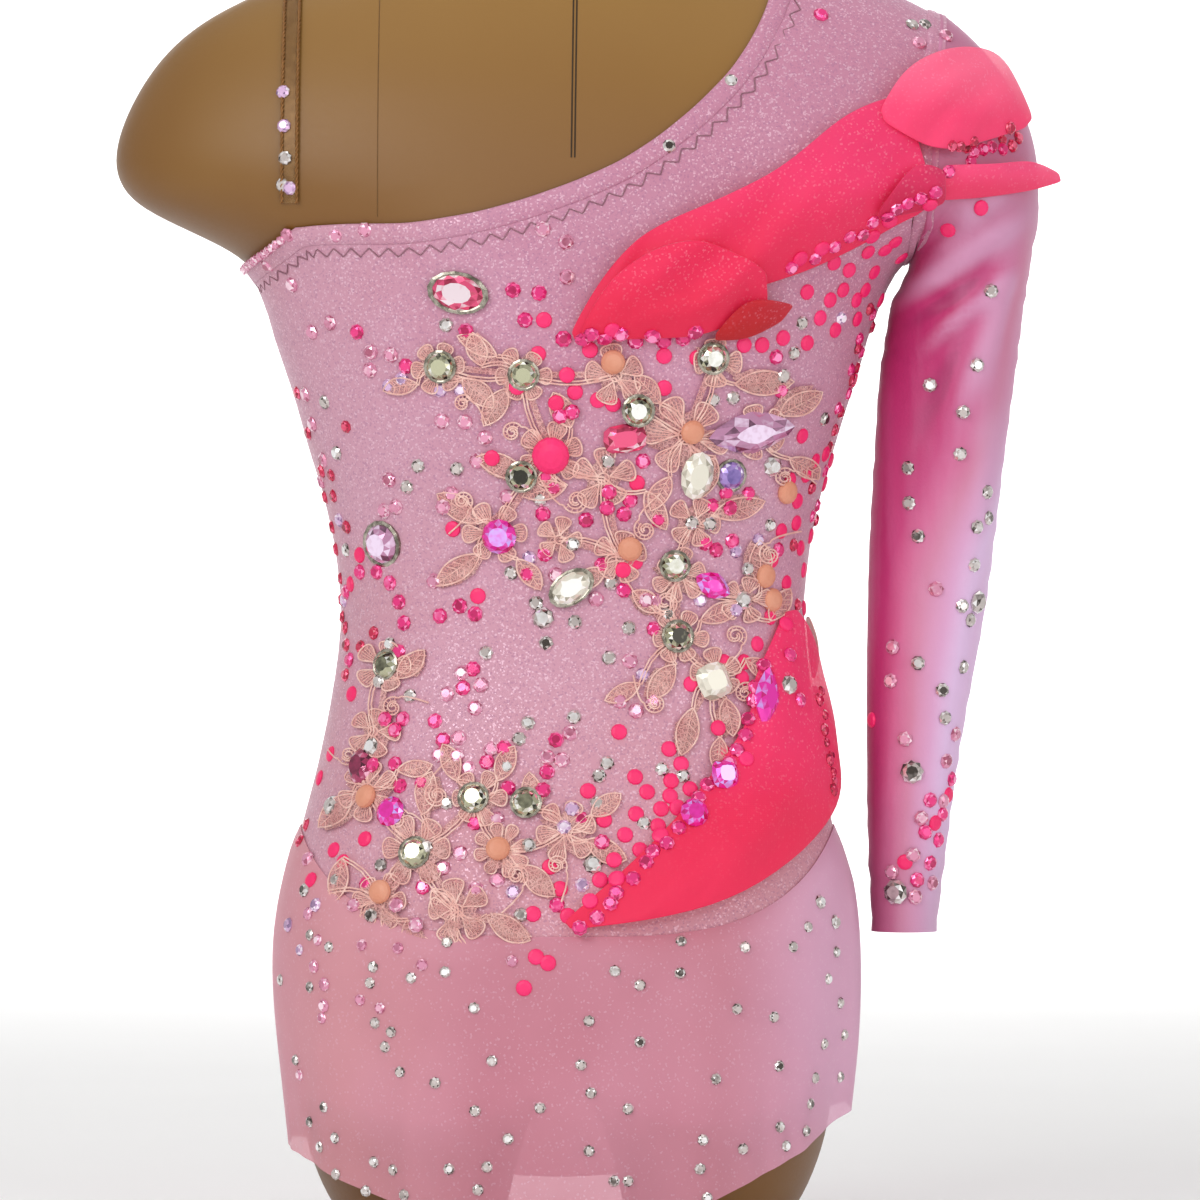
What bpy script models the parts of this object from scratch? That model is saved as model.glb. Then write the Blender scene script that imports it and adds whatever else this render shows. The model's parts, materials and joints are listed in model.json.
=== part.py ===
# Rhythmic gymnastics leotard on a limbless dress form.
# The garment's back faces -Y, its one sleeve is on +X, and the form stands on its two leg stubs.
# Sizes below are in millimetres and become metres where a mesh is made.
import math
from collections import namedtuple

import bmesh
import bpy
import numpy as np
from mathutils import Vector
from mathutils.bvhtree import BVHTree

MM = 0.001
SEAM_GAP = 0.3
CLOTH_WALL = 1.2
CHIFFON_WALL = 1.0
LACE_WALL = 1.0
AROUND = 32

CLEARING_ROUNDS = 4
SHARP_EDGE_DEGREES = 35
# A place well in front of the photographed side, from which points are cast onto it
PHOTO_SIDE_Y = -400

# Distances of each layer from the form's own surface
PANEL_INNER = 0.4
PANEL_OUTER = PANEL_INNER + CLOTH_WALL
LACE_INNER = PANEL_OUTER + SEAM_GAP
LACE_OUTER = LACE_INNER + LACE_WALL

TorsoRow = namedtuple("TorsoRow", "height half_width back front squareness shift")
TORSO = (
    TorsoRow(64, 42, 30, 26, 2.2, -2.8),
    TorsoRow(67, 72, 52, 42, 2.3, -2.8),
    TorsoRow(73, 97, 71, 57, 2.4, -2.8),
    TorsoRow(84, 112, 84, 69, 2.5, -2.8),
    TorsoRow(100, 118, 91, 76, 2.5, -2.8),
    TorsoRow(127, 119.5, 93, 78, 2.5, -2.8),
    TorsoRow(157, 115.5, 89, 79, 2.5, -2.5),
    TorsoRow(191, 106.5, 79, 78, 2.4, -1.5),
    TorsoRow(229, 100, 70, 76, 2.35, 0),
    TorsoRow(271, 95.2, 65, 73, 2.3, 0.5),
    TorsoRow(304, 100.5, 68, 76, 2.3, 0),
    TorsoRow(338, 110, 72, 81, 2.3, 0),
    TorsoRow(376, 122, 78, 87, 2.3, 0),
    TorsoRow(398, 128.5, 79, 88, 2.3, 0),
    TorsoRow(413, 137, 80, 87, 2.3, 0),
    TorsoRow(426, 162, 80, 86, 2.3, 0),
    TorsoRow(439, 187, 79, 84, 2.3, 0),
    TorsoRow(452, 193.5, 78, 80, 2.3, 0),
    TorsoRow(470, 190, 74, 74, 2.3, 0),
    TorsoRow(483, 183.5, 70, 69, 2.3, 0),
    TorsoRow(500, 172, 62, 60, 2.3, 0),
    TorsoRow(514.5, 155, 54, 52, 2.3, 0),
    TorsoRow(523, 138, 50, 48, 2.3, 0),
    TorsoRow(532, 116, 46, 45, 2.2, 0),
    TorsoRow(542, 90, 43, 43, 2.1, 0),
    TorsoRow(550, 68, 42, 42, 2.0, 0),
    TorsoRow(562, 51, 41, 41, 2.0, 0),
    TorsoRow(590, 46, 41, 41, 2.0, 0),
)
RING_HEIGHTS = (64, 67, 73, 84, 99, 117, 137, 158, 180, 202, 225, 248, 271, 294, 317, 339, 361,
                381, 397, 409, 417, 426, 435, 444, 455, 468, 481, 494, 507, 519, 530, 541, 551,
                564, 590)

LegRow = namedtuple("LegRow", "height inner outer back front")
LEG = (
    LegRow(0, 32, 78, 30, 26),
    LegRow(3, 28, 85, 41, 36),
    LegRow(10, 25.5, 93, 54, 46),
    LegRow(26, 22, 103, 67, 55),
    LegRow(46, 16.5, 110, 76, 61),
    LegRow(65, 11, 113, 79, 64),
    LegRow(88, 9, 113, 80, 64),
    LegRow(112, 22, 96, 60, 46),
)
LEG_AROUND = 20
LEG_SHIFT = -2.8
LEG_ROUNDNESS = 0.9

# Outline of the back panel's top edge, from the bare shoulder's armhole up to the sleeve shoulder
OutlinePoint = namedtuple("OutlinePoint", "x z")
BACK_NECKLINE = (
    OutlinePoint(-160, 407), OutlinePoint(-136, 410), OutlinePoint(-125, 416),
    OutlinePoint(-114, 423.5), OutlinePoint(-91, 424.5), OutlinePoint(-67, 424.5),
    OutlinePoint(-39, 429), OutlinePoint(-19, 434.5), OutlinePoint(2, 442), OutlinePoint(20, 450),
    OutlinePoint(36, 460.5), OutlinePoint(51.5, 473.5), OutlinePoint(65.5, 488),
    OutlinePoint(74, 501), OutlinePoint(80, 513), OutlinePoint(84.5, 527), OutlinePoint(86, 560),
)
FRONT_NECKLINE = (
    OutlinePoint(-160, 405), OutlinePoint(-136, 410), OutlinePoint(-122, 418),
    OutlinePoint(-106, 421), OutlinePoint(-80, 417), OutlinePoint(-45, 416),
    OutlinePoint(-10, 422), OutlinePoint(20, 435), OutlinePoint(45, 455), OutlinePoint(64, 478),
    OutlinePoint(76, 503), OutlinePoint(83, 527), OutlinePoint(86, 560),
)
ARMHOLE_LOW = OutlinePoint(137, 396)
ARMHOLE_HIGH = OutlinePoint(153, 520)
PANEL_TOP = 570
PANEL_SIDE = 170
LEFT_HIP_DROP = 5
HIP_X = 100
BACK_LEG_OPENING = (
    OutlinePoint(13, 52), OutlinePoint(13, 70), OutlinePoint(25, 60.5), OutlinePoint(45, 55),
    OutlinePoint(68, 56.5), OutlinePoint(92, 64), OutlinePoint(112, 71), OutlinePoint(165, 74),
)
FRONT_LEG_OPENING = (
    OutlinePoint(13, 52), OutlinePoint(14, 68), OutlinePoint(34, 82), OutlinePoint(60, 92),
    OutlinePoint(88, 92), OutlinePoint(110, 82), OutlinePoint(165, 74),
)

# Each sleeve ring runs from the underarm side to the outer side; depth is its half size in Y
SleeveRow = namedtuple("SleeveRow", "inner_x inner_z outer_x outer_z depth")
SLEEVE = (
    SleeveRow(143.0, 410, 168, 508, 50),
    SleeveRow(141.6, 407, 181, 493, 48),
    SleeveRow(140.0, 404, 190, 477, 46),
    SleeveRow(138.4, 401, 195.5, 461, 44),
    SleeveRow(136.8, 397, 197.5, 445, 42),
    SleeveRow(135.4, 393, 196, 428, 39),
    SleeveRow(134.2, 388, 192.5, 412, 35),
    SleeveRow(133.0, 381, 189.5, 396, 32),
    SleeveRow(131.4, 371, 187, 378, 29),
    SleeveRow(129.6, 356, 183.5, 357, 27),
    SleeveRow(128.2, 336, 180.5, 336, 25.5),
    SleeveRow(126.6, 313, 177.7, 313, 24.5),
    SleeveRow(125.4, 290, 175.5, 290, 23.5),
    SleeveRow(125, 267, 173, 267, 22.5),
    SleeveRow(124.6, 244, 168.5, 244, 21.5),
    SleeveRow(124.6, 221, 164, 221, 20.5),
    SleeveRow(124.8, 198, 160.2, 198, 19.5),
    SleeveRow(125.2, 176, 157.6, 176, 18.8),
    SleeveRow(126, 154, 154.6, 154, 18),
    SleeveRow(127, 132, 152, 132, 17.2),
)
SLEEVE_AROUND = 20
SLEEVE_Y = 1.0
SLEEVE_AXIS_X = 150
# The head is the part of the sleeve over the shoulder, smoothed and kept off the form
HEAD_LOW = 395
HEAD_SMOOTHING = 3
HEAD_CLEAR = 1.4
HEAD_CLEAR_FROM = 400
TUBE_CLEAR = CLOTH_WALL + 0.6
TUBE_CLEAR_TO = 411
ARMHOLE_FROM = 403
ARMHOLE_TURN_TOP = 460
ARMHOLE_TURN_LENGTH = 30
LEAST_FACING = 0.45

# Soft ridges on the hanging sleeve: ring numbers, turns round the tube (0.75 is the photo's side)
Fold = namedtuple("Fold", "ring_from turn_from ring_to turn_to height spread")
SLEEVE_FOLDS = (
    Fold(5, 0.97, 9, 0.62, 3.0, 0.055),
    Fold(6, 0.92, 13, 0.70, 2.4, 0.05),
    Fold(10, 0.86, 16, 0.82, 2.0, 0.05),
    Fold(5, 0.05, 10, 0.36, 2.6, 0.06),
    Fold(8, 0.12, 15, 0.28, 2.0, 0.05),
)

SKIRT_STEPS = 30
SKIRT_ROWS = 6
SkirtRow = namedtuple("SkirtRow", "side wave_count seam_side seam_middle hem_left hem_middle hem_right")
SKIRTS = {
    "skirt_back": SkirtRow(-1, 7, 177, 134, 45, 14, 60),
    "skirt_front": SkirtRow(1, 6, 177, 140, 45, 22, 60),
}
SKIRT_CLEAR = PANEL_OUTER + 0.5
SKIRT_STAND_OUT = 2.2
SKIRT_WAVE = 2.6
SKIRT_FLARE_POWER = 1.4
SKIRT_SIDE_GAP = 1.2
SKIRT_LEG_CLEAR = 0.5
SEAM_CURVE = 3
HEM_CURVE = 1.6
# Below its fullest height the skirt tucks in over the leg stubs
FULLEST = 100
TUCK_BACK = 0.0005
TUCK_SIDE = 0.0008

# Petals lie between a sewn edge and a free edge, both given in the photo's plane
EdgePoint = namedtuple("EdgePoint", "x z lift")
PetalShape = namedtuple("PetalShape", "sewn free puff along across colour")
HOT_PINK = (0.85, 0.05, 0.16)
CORAL = (0.92, 0.13, 0.24)
RED_ORANGE = (0.72, 0.03, 0.06)
PEACH = (0.62, 0.35, 0.25)
PETALS = {
    "petal_long": PetalShape(
        (EdgePoint(1, 377, 0.8), EdgePoint(30, 380, 0.8), EdgePoint(59, 393, 0.8),
         EdgePoint(87, 403, 0.8), EdgePoint(104, 410, 0.8), EdgePoint(124, 420.5, 0.8),
         EdgePoint(146, 434, 0.8)),
        (EdgePoint(0, 380.5, 1.5), EdgePoint(11, 401, 3), EdgePoint(28, 420, 4.5),
         EdgePoint(50, 431, 5), EdgePoint(84, 447, 5), EdgePoint(112, 470, 5),
         EdgePoint(137, 479, 4)), 3.0, 12, 4, HOT_PINK),
    "petal_round": PetalShape(
        (EdgePoint(5, 377.5, 2.7), EdgePoint(28, 378, 3.1), EdgePoint(51, 379, 3.5),
         EdgePoint(67, 385, 3.5), EdgePoint(79, 391.5, 3.3)),
        (EdgePoint(4, 381, 4.9), EdgePoint(13, 399, 7.9), EdgePoint(30, 413, 9.9),
         EdgePoint(52, 419, 10.9), EdgePoint(78, 407, 7.9)), 4.0, 8, 4, HOT_PINK),
    "petal_red": PetalShape(
        (EdgePoint(58, 378, 2.5), EdgePoint(71, 378.5, 2.5), EdgePoint(85, 386, 2.4)),
        (EdgePoint(57, 380.5, 5.9), EdgePoint(70, 394.5, 8.9), EdgePoint(89, 393, 5.9)),
        2.0, 6, 3, RED_ORANGE),
    "petal_top": PetalShape(
        (EdgePoint(127, 466, 4.8), EdgePoint(138, 459, 4.8), EdgePoint(150, 455, 3.8),
         EdgePoint(165, 458, 2.8), EdgePoint(184, 466, 0.8)),
        (EdgePoint(125, 470, 5.8), EdgePoint(136, 488, 6.8), EdgePoint(156, 497, 5.8),
         EdgePoint(175, 493, 4.8), EdgePoint(187, 470, 2.8)), 4.0, 8, 3, CORAL),
    "petal_dark": PetalShape(
        (EdgePoint(124, 430, 4.4), EdgePoint(138, 433, 4.4), EdgePoint(151, 437, 4.4)),
        (EdgePoint(125, 434, 5.4), EdgePoint(138, 449, 7.4), EdgePoint(150, 447, 6.4)),
        2.0, 6, 3, HOT_PINK),
    "petal_tip": PetalShape(
        (EdgePoint(151, 436, 0.6), EdgePoint(167, 437.5, 1.5), EdgePoint(187, 441, 3.5),
         EdgePoint(204, 445.5, 5.5)),
        (EdgePoint(151, 450, 1.5), EdgePoint(168, 451, 3.5), EdgePoint(186, 452.5, 5.5),
         EdgePoint(203, 449, 6.5)), 2.0, 8, 3, CORAL),
    "petal_hip": PetalShape(
        (EdgePoint(87, 266, 0.9), EdgePoint(73, 235, 0.9), EdgePoint(72, 222, 0.9),
         EdgePoint(51, 192, 0.9), EdgePoint(27, 166, 1.0), EdgePoint(-3, 139.5, 2.2)),
        (EdgePoint(91, 267, 1.5), EdgePoint(99.5, 247, 3), EdgePoint(103.5, 222, 5),
         EdgePoint(105, 188, 8), EdgePoint(66, 148, 6.5), EdgePoint(-1, 136.5, 3.5)),
        3.0, 12, 4, HOT_PINK),
}
FREE_Y = -12.0
PETAL_CLEAR = 0.8
PETAL_RIPPLE = 0.8
PETAL_RIPPLES = 3
TIP_SHARE = 0.25
PUFF_POWER = 0.6

SIDE_PETAL_SEAT = 0.1
SIDE_PETAL_CLEAR = 0.6
SIDE_PETAL_ALONG = 6
SIDE_PETAL_ACROSS = 3
SIDE_PETAL_WIDTH = 0.35
SIDE_PETAL_TIP = 1.5
SIDE_PETAL_START = 400
SidePetal = namedtuple("SidePetal", "low_z high_z middle_y reach half_length")
SIDE_PETALS = {
    "side_petal_upper": SidePetal(238, 264, 0, 4.5, 20),
    "side_petal_lower": SidePetal(184, 235, 6, 7.5, 30),
}

# The strap is drawn round the bare shoulder from a centre inside the form
STRAP_X = -115.5
STRAP_WIDTH = 7.5
STRAP_THICKNESS = 1.5
STRAP_STEPS = 20
STRAP_CLEAR = 0.8
STRAP_LEAST_CLEAR = 0.4
STRAP_CENTRE_Z = 440
STRAP_ENDS_Z = 427
STRAP_FROM_DEGREES = 188
STRAP_SWEEP_DEGREES = 196

# Lace: flowers by place, radius and petals; leaves by base, direction, length and width
Flower = namedtuple("Flower", "x z radius petals turn")
Leaf = namedtuple("Leaf", "x z direction length width")
LACE = {
    "lace_back": {
        "flowers": (
            Flower(-53.5, 366.5, 11, 5, 10), Flower(-19.7, 363, 11, 5, 0),
            Flower(18, 363, 12, 5, 30), Flower(46.5, 338.5, 16, 5, 54),
            Flower(58.5, 369, 9.5, 5, 0), Flower(-8.4, 331, 13, 5, 20),
            Flower(13, 321, 12, 5, 15), Flower(76, 341, 11, 5, 40),
            Flower(-31, 299, 11, 5, 0), Flower(20, 289, 11, 5, 10), Flower(-5, 296, 9, 5, 0),
        ),
        "leaves": (
            Leaf(-44, 362, -50, 17, 9), Leaf(-36, 367, 100, 14, 8), Leaf(-26, 358, -120, 18, 9),
            Leaf(66, 360, 5, 24, 10), Leaf(84, 348, 35, 20, 9), Leaf(0, 342, 115, 16, 9),
            Leaf(-18, 322, 165, 22, 9), Leaf(-38, 303, 150, 20, 9), Leaf(-37, 290, 220, 22, 9),
            Leaf(58, 330, 255, 18, 9), Leaf(14, 284, 215, 16, 8),
        ),
    },
    "lace_side": {
        "flowers": (
            Flower(50, 303, 10.5, 5, 0), Flower(43.5, 281, 11, 5, 20), Flower(70, 271, 10, 5, 0),
            Flower(43.5, 255, 11, 5, 0), Flower(59, 240, 10, 5, 30),
        ),
        "leaves": (
            Leaf(57, 306, 20, 22, 9), Leaf(36, 266, 150, 14, 8), Leaf(76, 278, 95, 18, 9),
            Leaf(49, 226, 255, 20, 9), Leaf(42, 244, 225, 18, 9), Leaf(62, 230, -85, 16, 8),
        ),
    },
    "lace_hip": {
        "flowers": (
            Flower(-76, 243, 10.5, 5, 0), Flower(-80, 216, 10, 5, 0), Flower(-82, 192, 12, 5, 20),
            Flower(-62, 168, 14, 5, 0), Flower(-38, 189, 11, 5, 0), Flower(-28, 168, 11, 5, 15),
            Flower(-2, 176, 12, 5, 10), Flower(-77, 147, 11, 5, 0), Flower(-46, 144, 12, 5, 30),
        ),
        "leaves": (
            Leaf(-70, 238, 50, 16, 8), Leaf(-88, 190, 225, 20, 9), Leaf(-60, 182, 70, 18, 9),
            Leaf(-14, 184, 95, 16, 8), Leaf(6, 172, -20, 18, 9), Leaf(-84, 140, 245, 20, 9),
            Leaf(-66, 140, -75, 20, 9), Leaf(-48, 134, -105, 16, 8), Leaf(-34, 142, -25, 20, 9),
            Leaf(-20, 162, -40, 18, 9),
        ),
    },
}
STEM_WIDTH = 2.6
STEM_INSIDE_LEAF = 0.3
LACE_FLATNESS = 2.0
FLOWER_POINTS = 2
FLOWER_NECK = 0.55
LEAF_STEPS = 3
LEAF_END = 0.12
# Motif cutters pass through the back only, each with its own ends so that no two faces coincide
MOTIF_NEAR, MOTIF_FAR = -140, -10
MOTIF_NEAR_STEP, MOTIF_FAR_STEP, MOTIF_FAR_SPAN = 0.37, 0.53, 5

# Large sewn stones: centre, length, width and turn in the photo's plane
Stone = namedtuple("Stone", "x z length width turn cut colour")
ROUND, CUSHION, NAVETTE = 2.0, 4.0, 1.25
PINK = (0.85, 0.12, 0.30)
CHAMPAGNE = (0.70, 0.62, 0.45)
LILAC = (0.55, 0.35, 0.62)
CREAM = (0.78, 0.72, 0.62)
MAGENTA = (0.72, 0.06, 0.42)
STONES = {
    "stone_pink_oval": Stone(-46.5, 396.5, 22.5, 15, -12, ROUND, PINK),
    "stone_upper_left": Stone(-53.5, 366.5, 12, 12, 0, ROUND, CHAMPAGNE),
    "stone_upper_middle": Stone(-19.5, 363, 11.5, 11.5, 0, ROUND, CHAMPAGNE),
    "stone_upper_right": Stone(58, 370, 12, 12, 0, ROUND, CHAMPAGNE),
    "stone_centre_right": Stone(27.5, 348.5, 12, 12, 0, ROUND, CHAMPAGNE),
    "stone_pink_bar": Stone(22, 337, 18, 12, 8, CUSHION, PINK),
    "stone_lilac_navette": Stone(74, 340, 40, 18, 8, NAVETTE, LILAC),
    "stone_cream_drop": Stone(51.5, 322, 14, 20, -10, ROUND, CREAM),
    "stone_blue_drop": Stone(66, 322, 12, 12, 0, ROUND, LILAC),
    "stone_neon_cabochon": Stone(-8.4, 330, 15.5, 15.5, 0, ROUND, PINK),
    "stone_left_crystal": Stone(-20.5, 321.5, 11.5, 11.5, 0, ROUND, CHAMPAGNE),
    "stone_rose": Stone(-29.5, 297, 14.5, 14.5, 0, ROUND, MAGENTA),
    "stone_mauve": Stone(-78.5, 294, 17, 17, 0, ROUND, LILAC),
    "stone_cream_navette": Stone(0, 276, 18, 12, 35, ROUND, CREAM),
    "stone_side_upper": Stone(42.5, 285, 11.5, 11.5, 0, ROUND, CHAMPAGNE),
    "stone_side_navette": Stone(58, 277, 17, 11, -25, ROUND, MAGENTA),
    "stone_side_lower": Stone(43.5, 256, 12, 12, 0, ROUND, CHAMPAGNE),
    "stone_cream_cut": Stone(58.5, 237.5, 15, 15, 20, CUSHION, CREAM),
    "stone_hip_navette": Stone(77.5, 230, 13, 26, -12, NAVETTE, MAGENTA),
    "stone_hip_cushion": Stone(62, 198.5, 12, 12, 0, CUSHION, PINK),
    "stone_hip_heart": Stone(49, 183, 12, 12, 0, ROUND, MAGENTA),
    "stone_left_upper": Stone(-76, 244, 11.5, 11.5, 0, ROUND, CHAMPAGNE),
    "stone_left_pear": Stone(-86.5, 202, 13, 16, 20, ROUND, MAGENTA),
    "stone_left_low": Stone(-74, 184, 13, 13, 0, ROUND, MAGENTA),
    "stone_hip_left": Stone(-64, 167.5, 12, 12, 0, ROUND, CHAMPAGNE),
    "stone_hip_middle": Stone(-40, 190, 11.5, 11.5, 0, ROUND, CHAMPAGNE),
    "stone_hip_right": Stone(-18.5, 188, 11.5, 11.5, 0, ROUND, CHAMPAGNE),
}
STONE_SIDES = 8
STONE_DOME = 0.30
STONE_TABLE = 0.6
STONE_CLEAR = 0.35
STONE_PROBE = 0.03

FORM_TAN = (0.30, 0.16, 0.04)
LILAC_PINK = (0.62, 0.33, 0.50)
VELVET_MAGENTA = (0.50, 0.10, 0.34)
SHEER_PINK = (0.68, 0.28, 0.42)
LACE_PEACH = (0.72, 0.40, 0.32)
GOLD_BROWN = (0.36, 0.22, 0.10)


def clear_scene():
    for thing in list(bpy.data.objects):
        bpy.data.objects.remove(thing, do_unlink=True)


def collection(name, hidden=False):
    made = bpy.data.collections.new(name)
    bpy.context.scene.collection.children.link(made)
    made.hide_render = hidden
    return made


def material(name, colour, roughness, metallic=0.0, alpha=1.0):
    made = bpy.data.materials.get(name) or bpy.data.materials.new(name)
    made.use_nodes = True
    shader = made.node_tree.nodes["Principled BSDF"]
    shader.inputs["Base Color"].default_value = (*colour, 1.0)
    shader.inputs["Roughness"].default_value = roughness
    shader.inputs["Metallic"].default_value = metallic
    shader.inputs["Alpha"].default_value = alpha
    return made


def skin(rings, capped=True, closed_round=True):
    """A mesh through rings of equal point counts, given in millimetres."""
    shape = bmesh.new()
    loops = [[shape.verts.new(Vector(point) * MM) for point in ring] for ring in rings]
    count = len(loops[0])
    for low, high in zip(loops, loops[1:]):
        for step in range(count if closed_round else count - 1):
            after = (step + 1) % count
            shape.faces.new((low[step], low[after], high[after], high[step]))
    if capped:
        shape.faces.new(loops[0][::-1])
        shape.faces.new(loops[-1])
    shape.normal_update()
    return shape


def outward(shape):
    bmesh.ops.recalc_face_normals(shape, faces=shape.faces)
    return shape


def split_faces(shape):
    """Triangles, so that every layer made from this shape is divided the same way."""
    bmesh.ops.triangulate(shape, faces=shape.faces)
    return shape


def moved_out(shape, distance):
    """A copy whose every face lies the given distance further out."""
    copy = shape.copy()
    copy.normal_update()
    shifts = [vert.normal * vert.calc_shell_factor() * distance * MM for vert in copy.verts]
    for vert, shift in zip(copy.verts, shifts):
        vert.co += shift
    copy.normal_update()
    return copy


def add_object(name, shape, home, finish=None):
    mesh = bpy.data.meshes.new(name)
    shape.to_mesh(mesh)
    mesh.shade_smooth()
    mesh.set_sharp_from_angle(angle=math.radians(SHARP_EDGE_DEGREES))
    made = bpy.data.objects.new(name, mesh)
    home.objects.link(made)
    if finish:
        mesh.materials.append(finish)
    return made


def add_cutter(name, shape, home):
    made = add_object(name, shape, home)
    made.hide_render = True
    made.display_type = "WIRE"
    return made


def boolean(target, operation, tool, self_crossing=False):
    step = target.modifiers.new(operation.lower(), "BOOLEAN")
    step.operation = operation
    step.solver = "EXACT"
    step.use_self = self_crossing
    step.object = tool


def thicken(target, thickness):
    wall = target.modifiers.new("wall", "SOLIDIFY")
    wall.thickness = thickness * MM
    wall.offset = 1.0
    wall.use_quality_normals = True


def eased(rows, column, height):
    """Monotone cubic through one column of a table, so rings never bulge past their neighbours."""
    heights = np.array([row.height for row in rows], float)
    values = np.array([getattr(row, column) for row in rows], float)
    spans = np.diff(heights)
    slopes = np.diff(values) / spans
    tangents = np.zeros(len(values))
    tangents[0], tangents[-1] = slopes[0], slopes[-1]
    for index in range(1, len(values) - 1):
        before, after = slopes[index - 1], slopes[index]
        if before * after > 0:
            tangents[index] = 2 * before * after / (before + after)
    at = int(np.clip(np.searchsorted(heights, height) - 1, 0, len(spans) - 1))
    t = (height - heights[at]) / spans[at]
    rise = (1 + 2 * t) * (1 - t) ** 2 * values[at] + t * t * (3 - 2 * t) * values[at + 1]
    lean = t * (1 - t) ** 2 * tangents[at] - t * t * (1 - t) * tangents[at + 1]
    return float(rise + lean * spans[at])


def rounded(value, power):
    return math.copysign(abs(value) ** power, value)


def torso_point(height, turn, extra=0.0):
    """A point on the form's section at this height; turn 0.25 is the front and 0.75 the back."""
    angle = math.tau * turn
    power = 2 / eased(TORSO, "squareness", height)
    wide = eased(TORSO, "half_width", height) + extra
    deep = eased(TORSO, "front" if math.sin(angle) > 0 else "back", height) + extra
    x = eased(TORSO, "shift", height) + wide * rounded(math.cos(angle), power)
    y = deep * rounded(math.sin(angle), power)
    return (x, y, height)


def torso_shape():
    turns = [step / AROUND for step in range(AROUND)]
    rings = [[torso_point(height, turn) for turn in turns] for height in RING_HEIGHTS]
    return split_faces(outward(skin(rings)))


def leg_shape(side):
    rings = []
    for row in LEG:
        middle = side * (row.inner + row.outer) / 2 + LEG_SHIFT
        half = (row.outer - row.inner) / 2
        ring = []
        for step in range(LEG_AROUND):
            angle = math.tau * step / LEG_AROUND
            deep = row.front if math.sin(angle) > 0 else row.back
            x = middle + half * rounded(math.cos(angle), LEG_ROUNDNESS)
            ring.append((x, deep * rounded(math.sin(angle), LEG_ROUNDNESS), row.height))
        rings.append(ring)
    return split_faces(outward(skin(rings)))


def prism(points, near, far):
    """An outline in X and Z, drawn out along Y between two distances."""
    shape = bmesh.new()
    front = [shape.verts.new((point.x * MM, near * MM, point.z * MM)) for point in points]
    shape.faces.new(front)
    made = bmesh.ops.extrude_face_region(shape, geom=shape.faces[:])
    moved = [item for item in made["geom"] if isinstance(item, bmesh.types.BMVert)]
    bmesh.ops.translate(shape, verts=moved, vec=(0, (far - near) * MM, 0))
    return outward(shape)


def panel_outline(neckline, leg_opening):
    right = [OutlinePoint(point.x + LEG_SHIFT, point.z) for point in leg_opening]
    left = [OutlinePoint(LEG_SHIFT - point.x, point.z - LEFT_HIP_DROP * (point.x > HIP_X))
            for point in leg_opening]
    armhole = [OutlinePoint(armhole_x(PANEL_TOP), PANEL_TOP), OutlinePoint(*ARMHOLE_LOW),
               OutlinePoint(PANEL_SIDE, ARMHOLE_LOW.z)]
    return list(neckline) + armhole + right[::-1] + left


def armhole_x(height):
    share = (height - ARMHOLE_LOW.z) / (ARMHOLE_HIGH.z - ARMHOLE_LOW.z)
    return ARMHOLE_LOW.x + share * (ARMHOLE_HIGH.x - ARMHOLE_LOW.x)


def build_form(parts, cutters, torso, legs):
    form = add_object("dress_form", torso, parts, material("form_cover", FORM_TAN, 0.42))
    for side, leg in legs.items():
        boolean(form, "UNION", add_cutter(f"leg_stub_{side}", leg, cutters))
    return form


def build_panel(name, parts, cutters, torso, legs, outline, near, far):
    """The cloth between two layers of the form, cut to an outline."""
    finish = material("stretch_fabric", LILAC_PINK, 0.45)
    panel = add_object(name, moved_out(torso, PANEL_OUTER), parts, finish)
    for side, leg in legs.items():
        boolean(panel, "UNION", add_cutter(f"{name}_leg_{side}", moved_out(leg, PANEL_OUTER), cutters))
    hollow = add_cutter(f"{name}_hollow", moved_out(torso, PANEL_INNER), cutters)
    boolean(panel, "DIFFERENCE", hollow)
    for side, leg in legs.items():
        bore = add_cutter(f"{name}_bore_{side}", moved_out(leg, PANEL_INNER), cutters)
        boolean(panel, "DIFFERENCE", bore)
    boolean(panel, "INTERSECT", add_cutter(f"{name}_outline", prism(outline, near, far), cutters))
    return panel


def fold_height(ring, turn):
    """How far the sleeve's soft ridges lift this point."""
    total = 0.0
    for fold in SLEEVE_FOLDS:
        share = (ring - fold.ring_from) / (fold.ring_to - fold.ring_from)
        if not 0 <= share <= 1:
            continue
        middle = fold.turn_from + share * (fold.turn_to - fold.turn_from)
        away = (turn - middle + 0.5) % 1 - 0.5
        total += fold.height * math.sin(math.pi * share) * math.exp(-((away / fold.spread) ** 2))
    return total


def sleeve_rings(form_tree):
    first = SleeveRow(armhole_x(412) + 3.6, 412, armhole_x(517) + 0.6, 517, 50)
    rings = []
    for number, row in enumerate((first, *SLEEVE)):
        inner = Vector((row.inner_x, SLEEVE_Y, row.inner_z))
        outer = Vector((row.outer_x, SLEEVE_Y, row.outer_z))
        middle = (inner + outer) / 2
        ring = []
        for step in range(SLEEVE_AROUND):
            turn = step / SLEEVE_AROUND
            angle = math.tau * turn
            reach = (outer - middle) * math.cos(angle) + Vector((0, row.depth * math.sin(angle), 0))
            way = reach.normalized()
            length = reach.length + fold_height(number, turn)
            hit, normal, _, distance = form_tree.ray_cast(middle * MM, way)
            if hit and normal.dot(way) > 0:
                clear = PANEL_INNER / max(LEAST_FACING, normal.dot(way))
                length = max(length, distance / MM + clear)
            ring.append(middle + way * length)
        rings.append(ring)
    return rings


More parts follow.
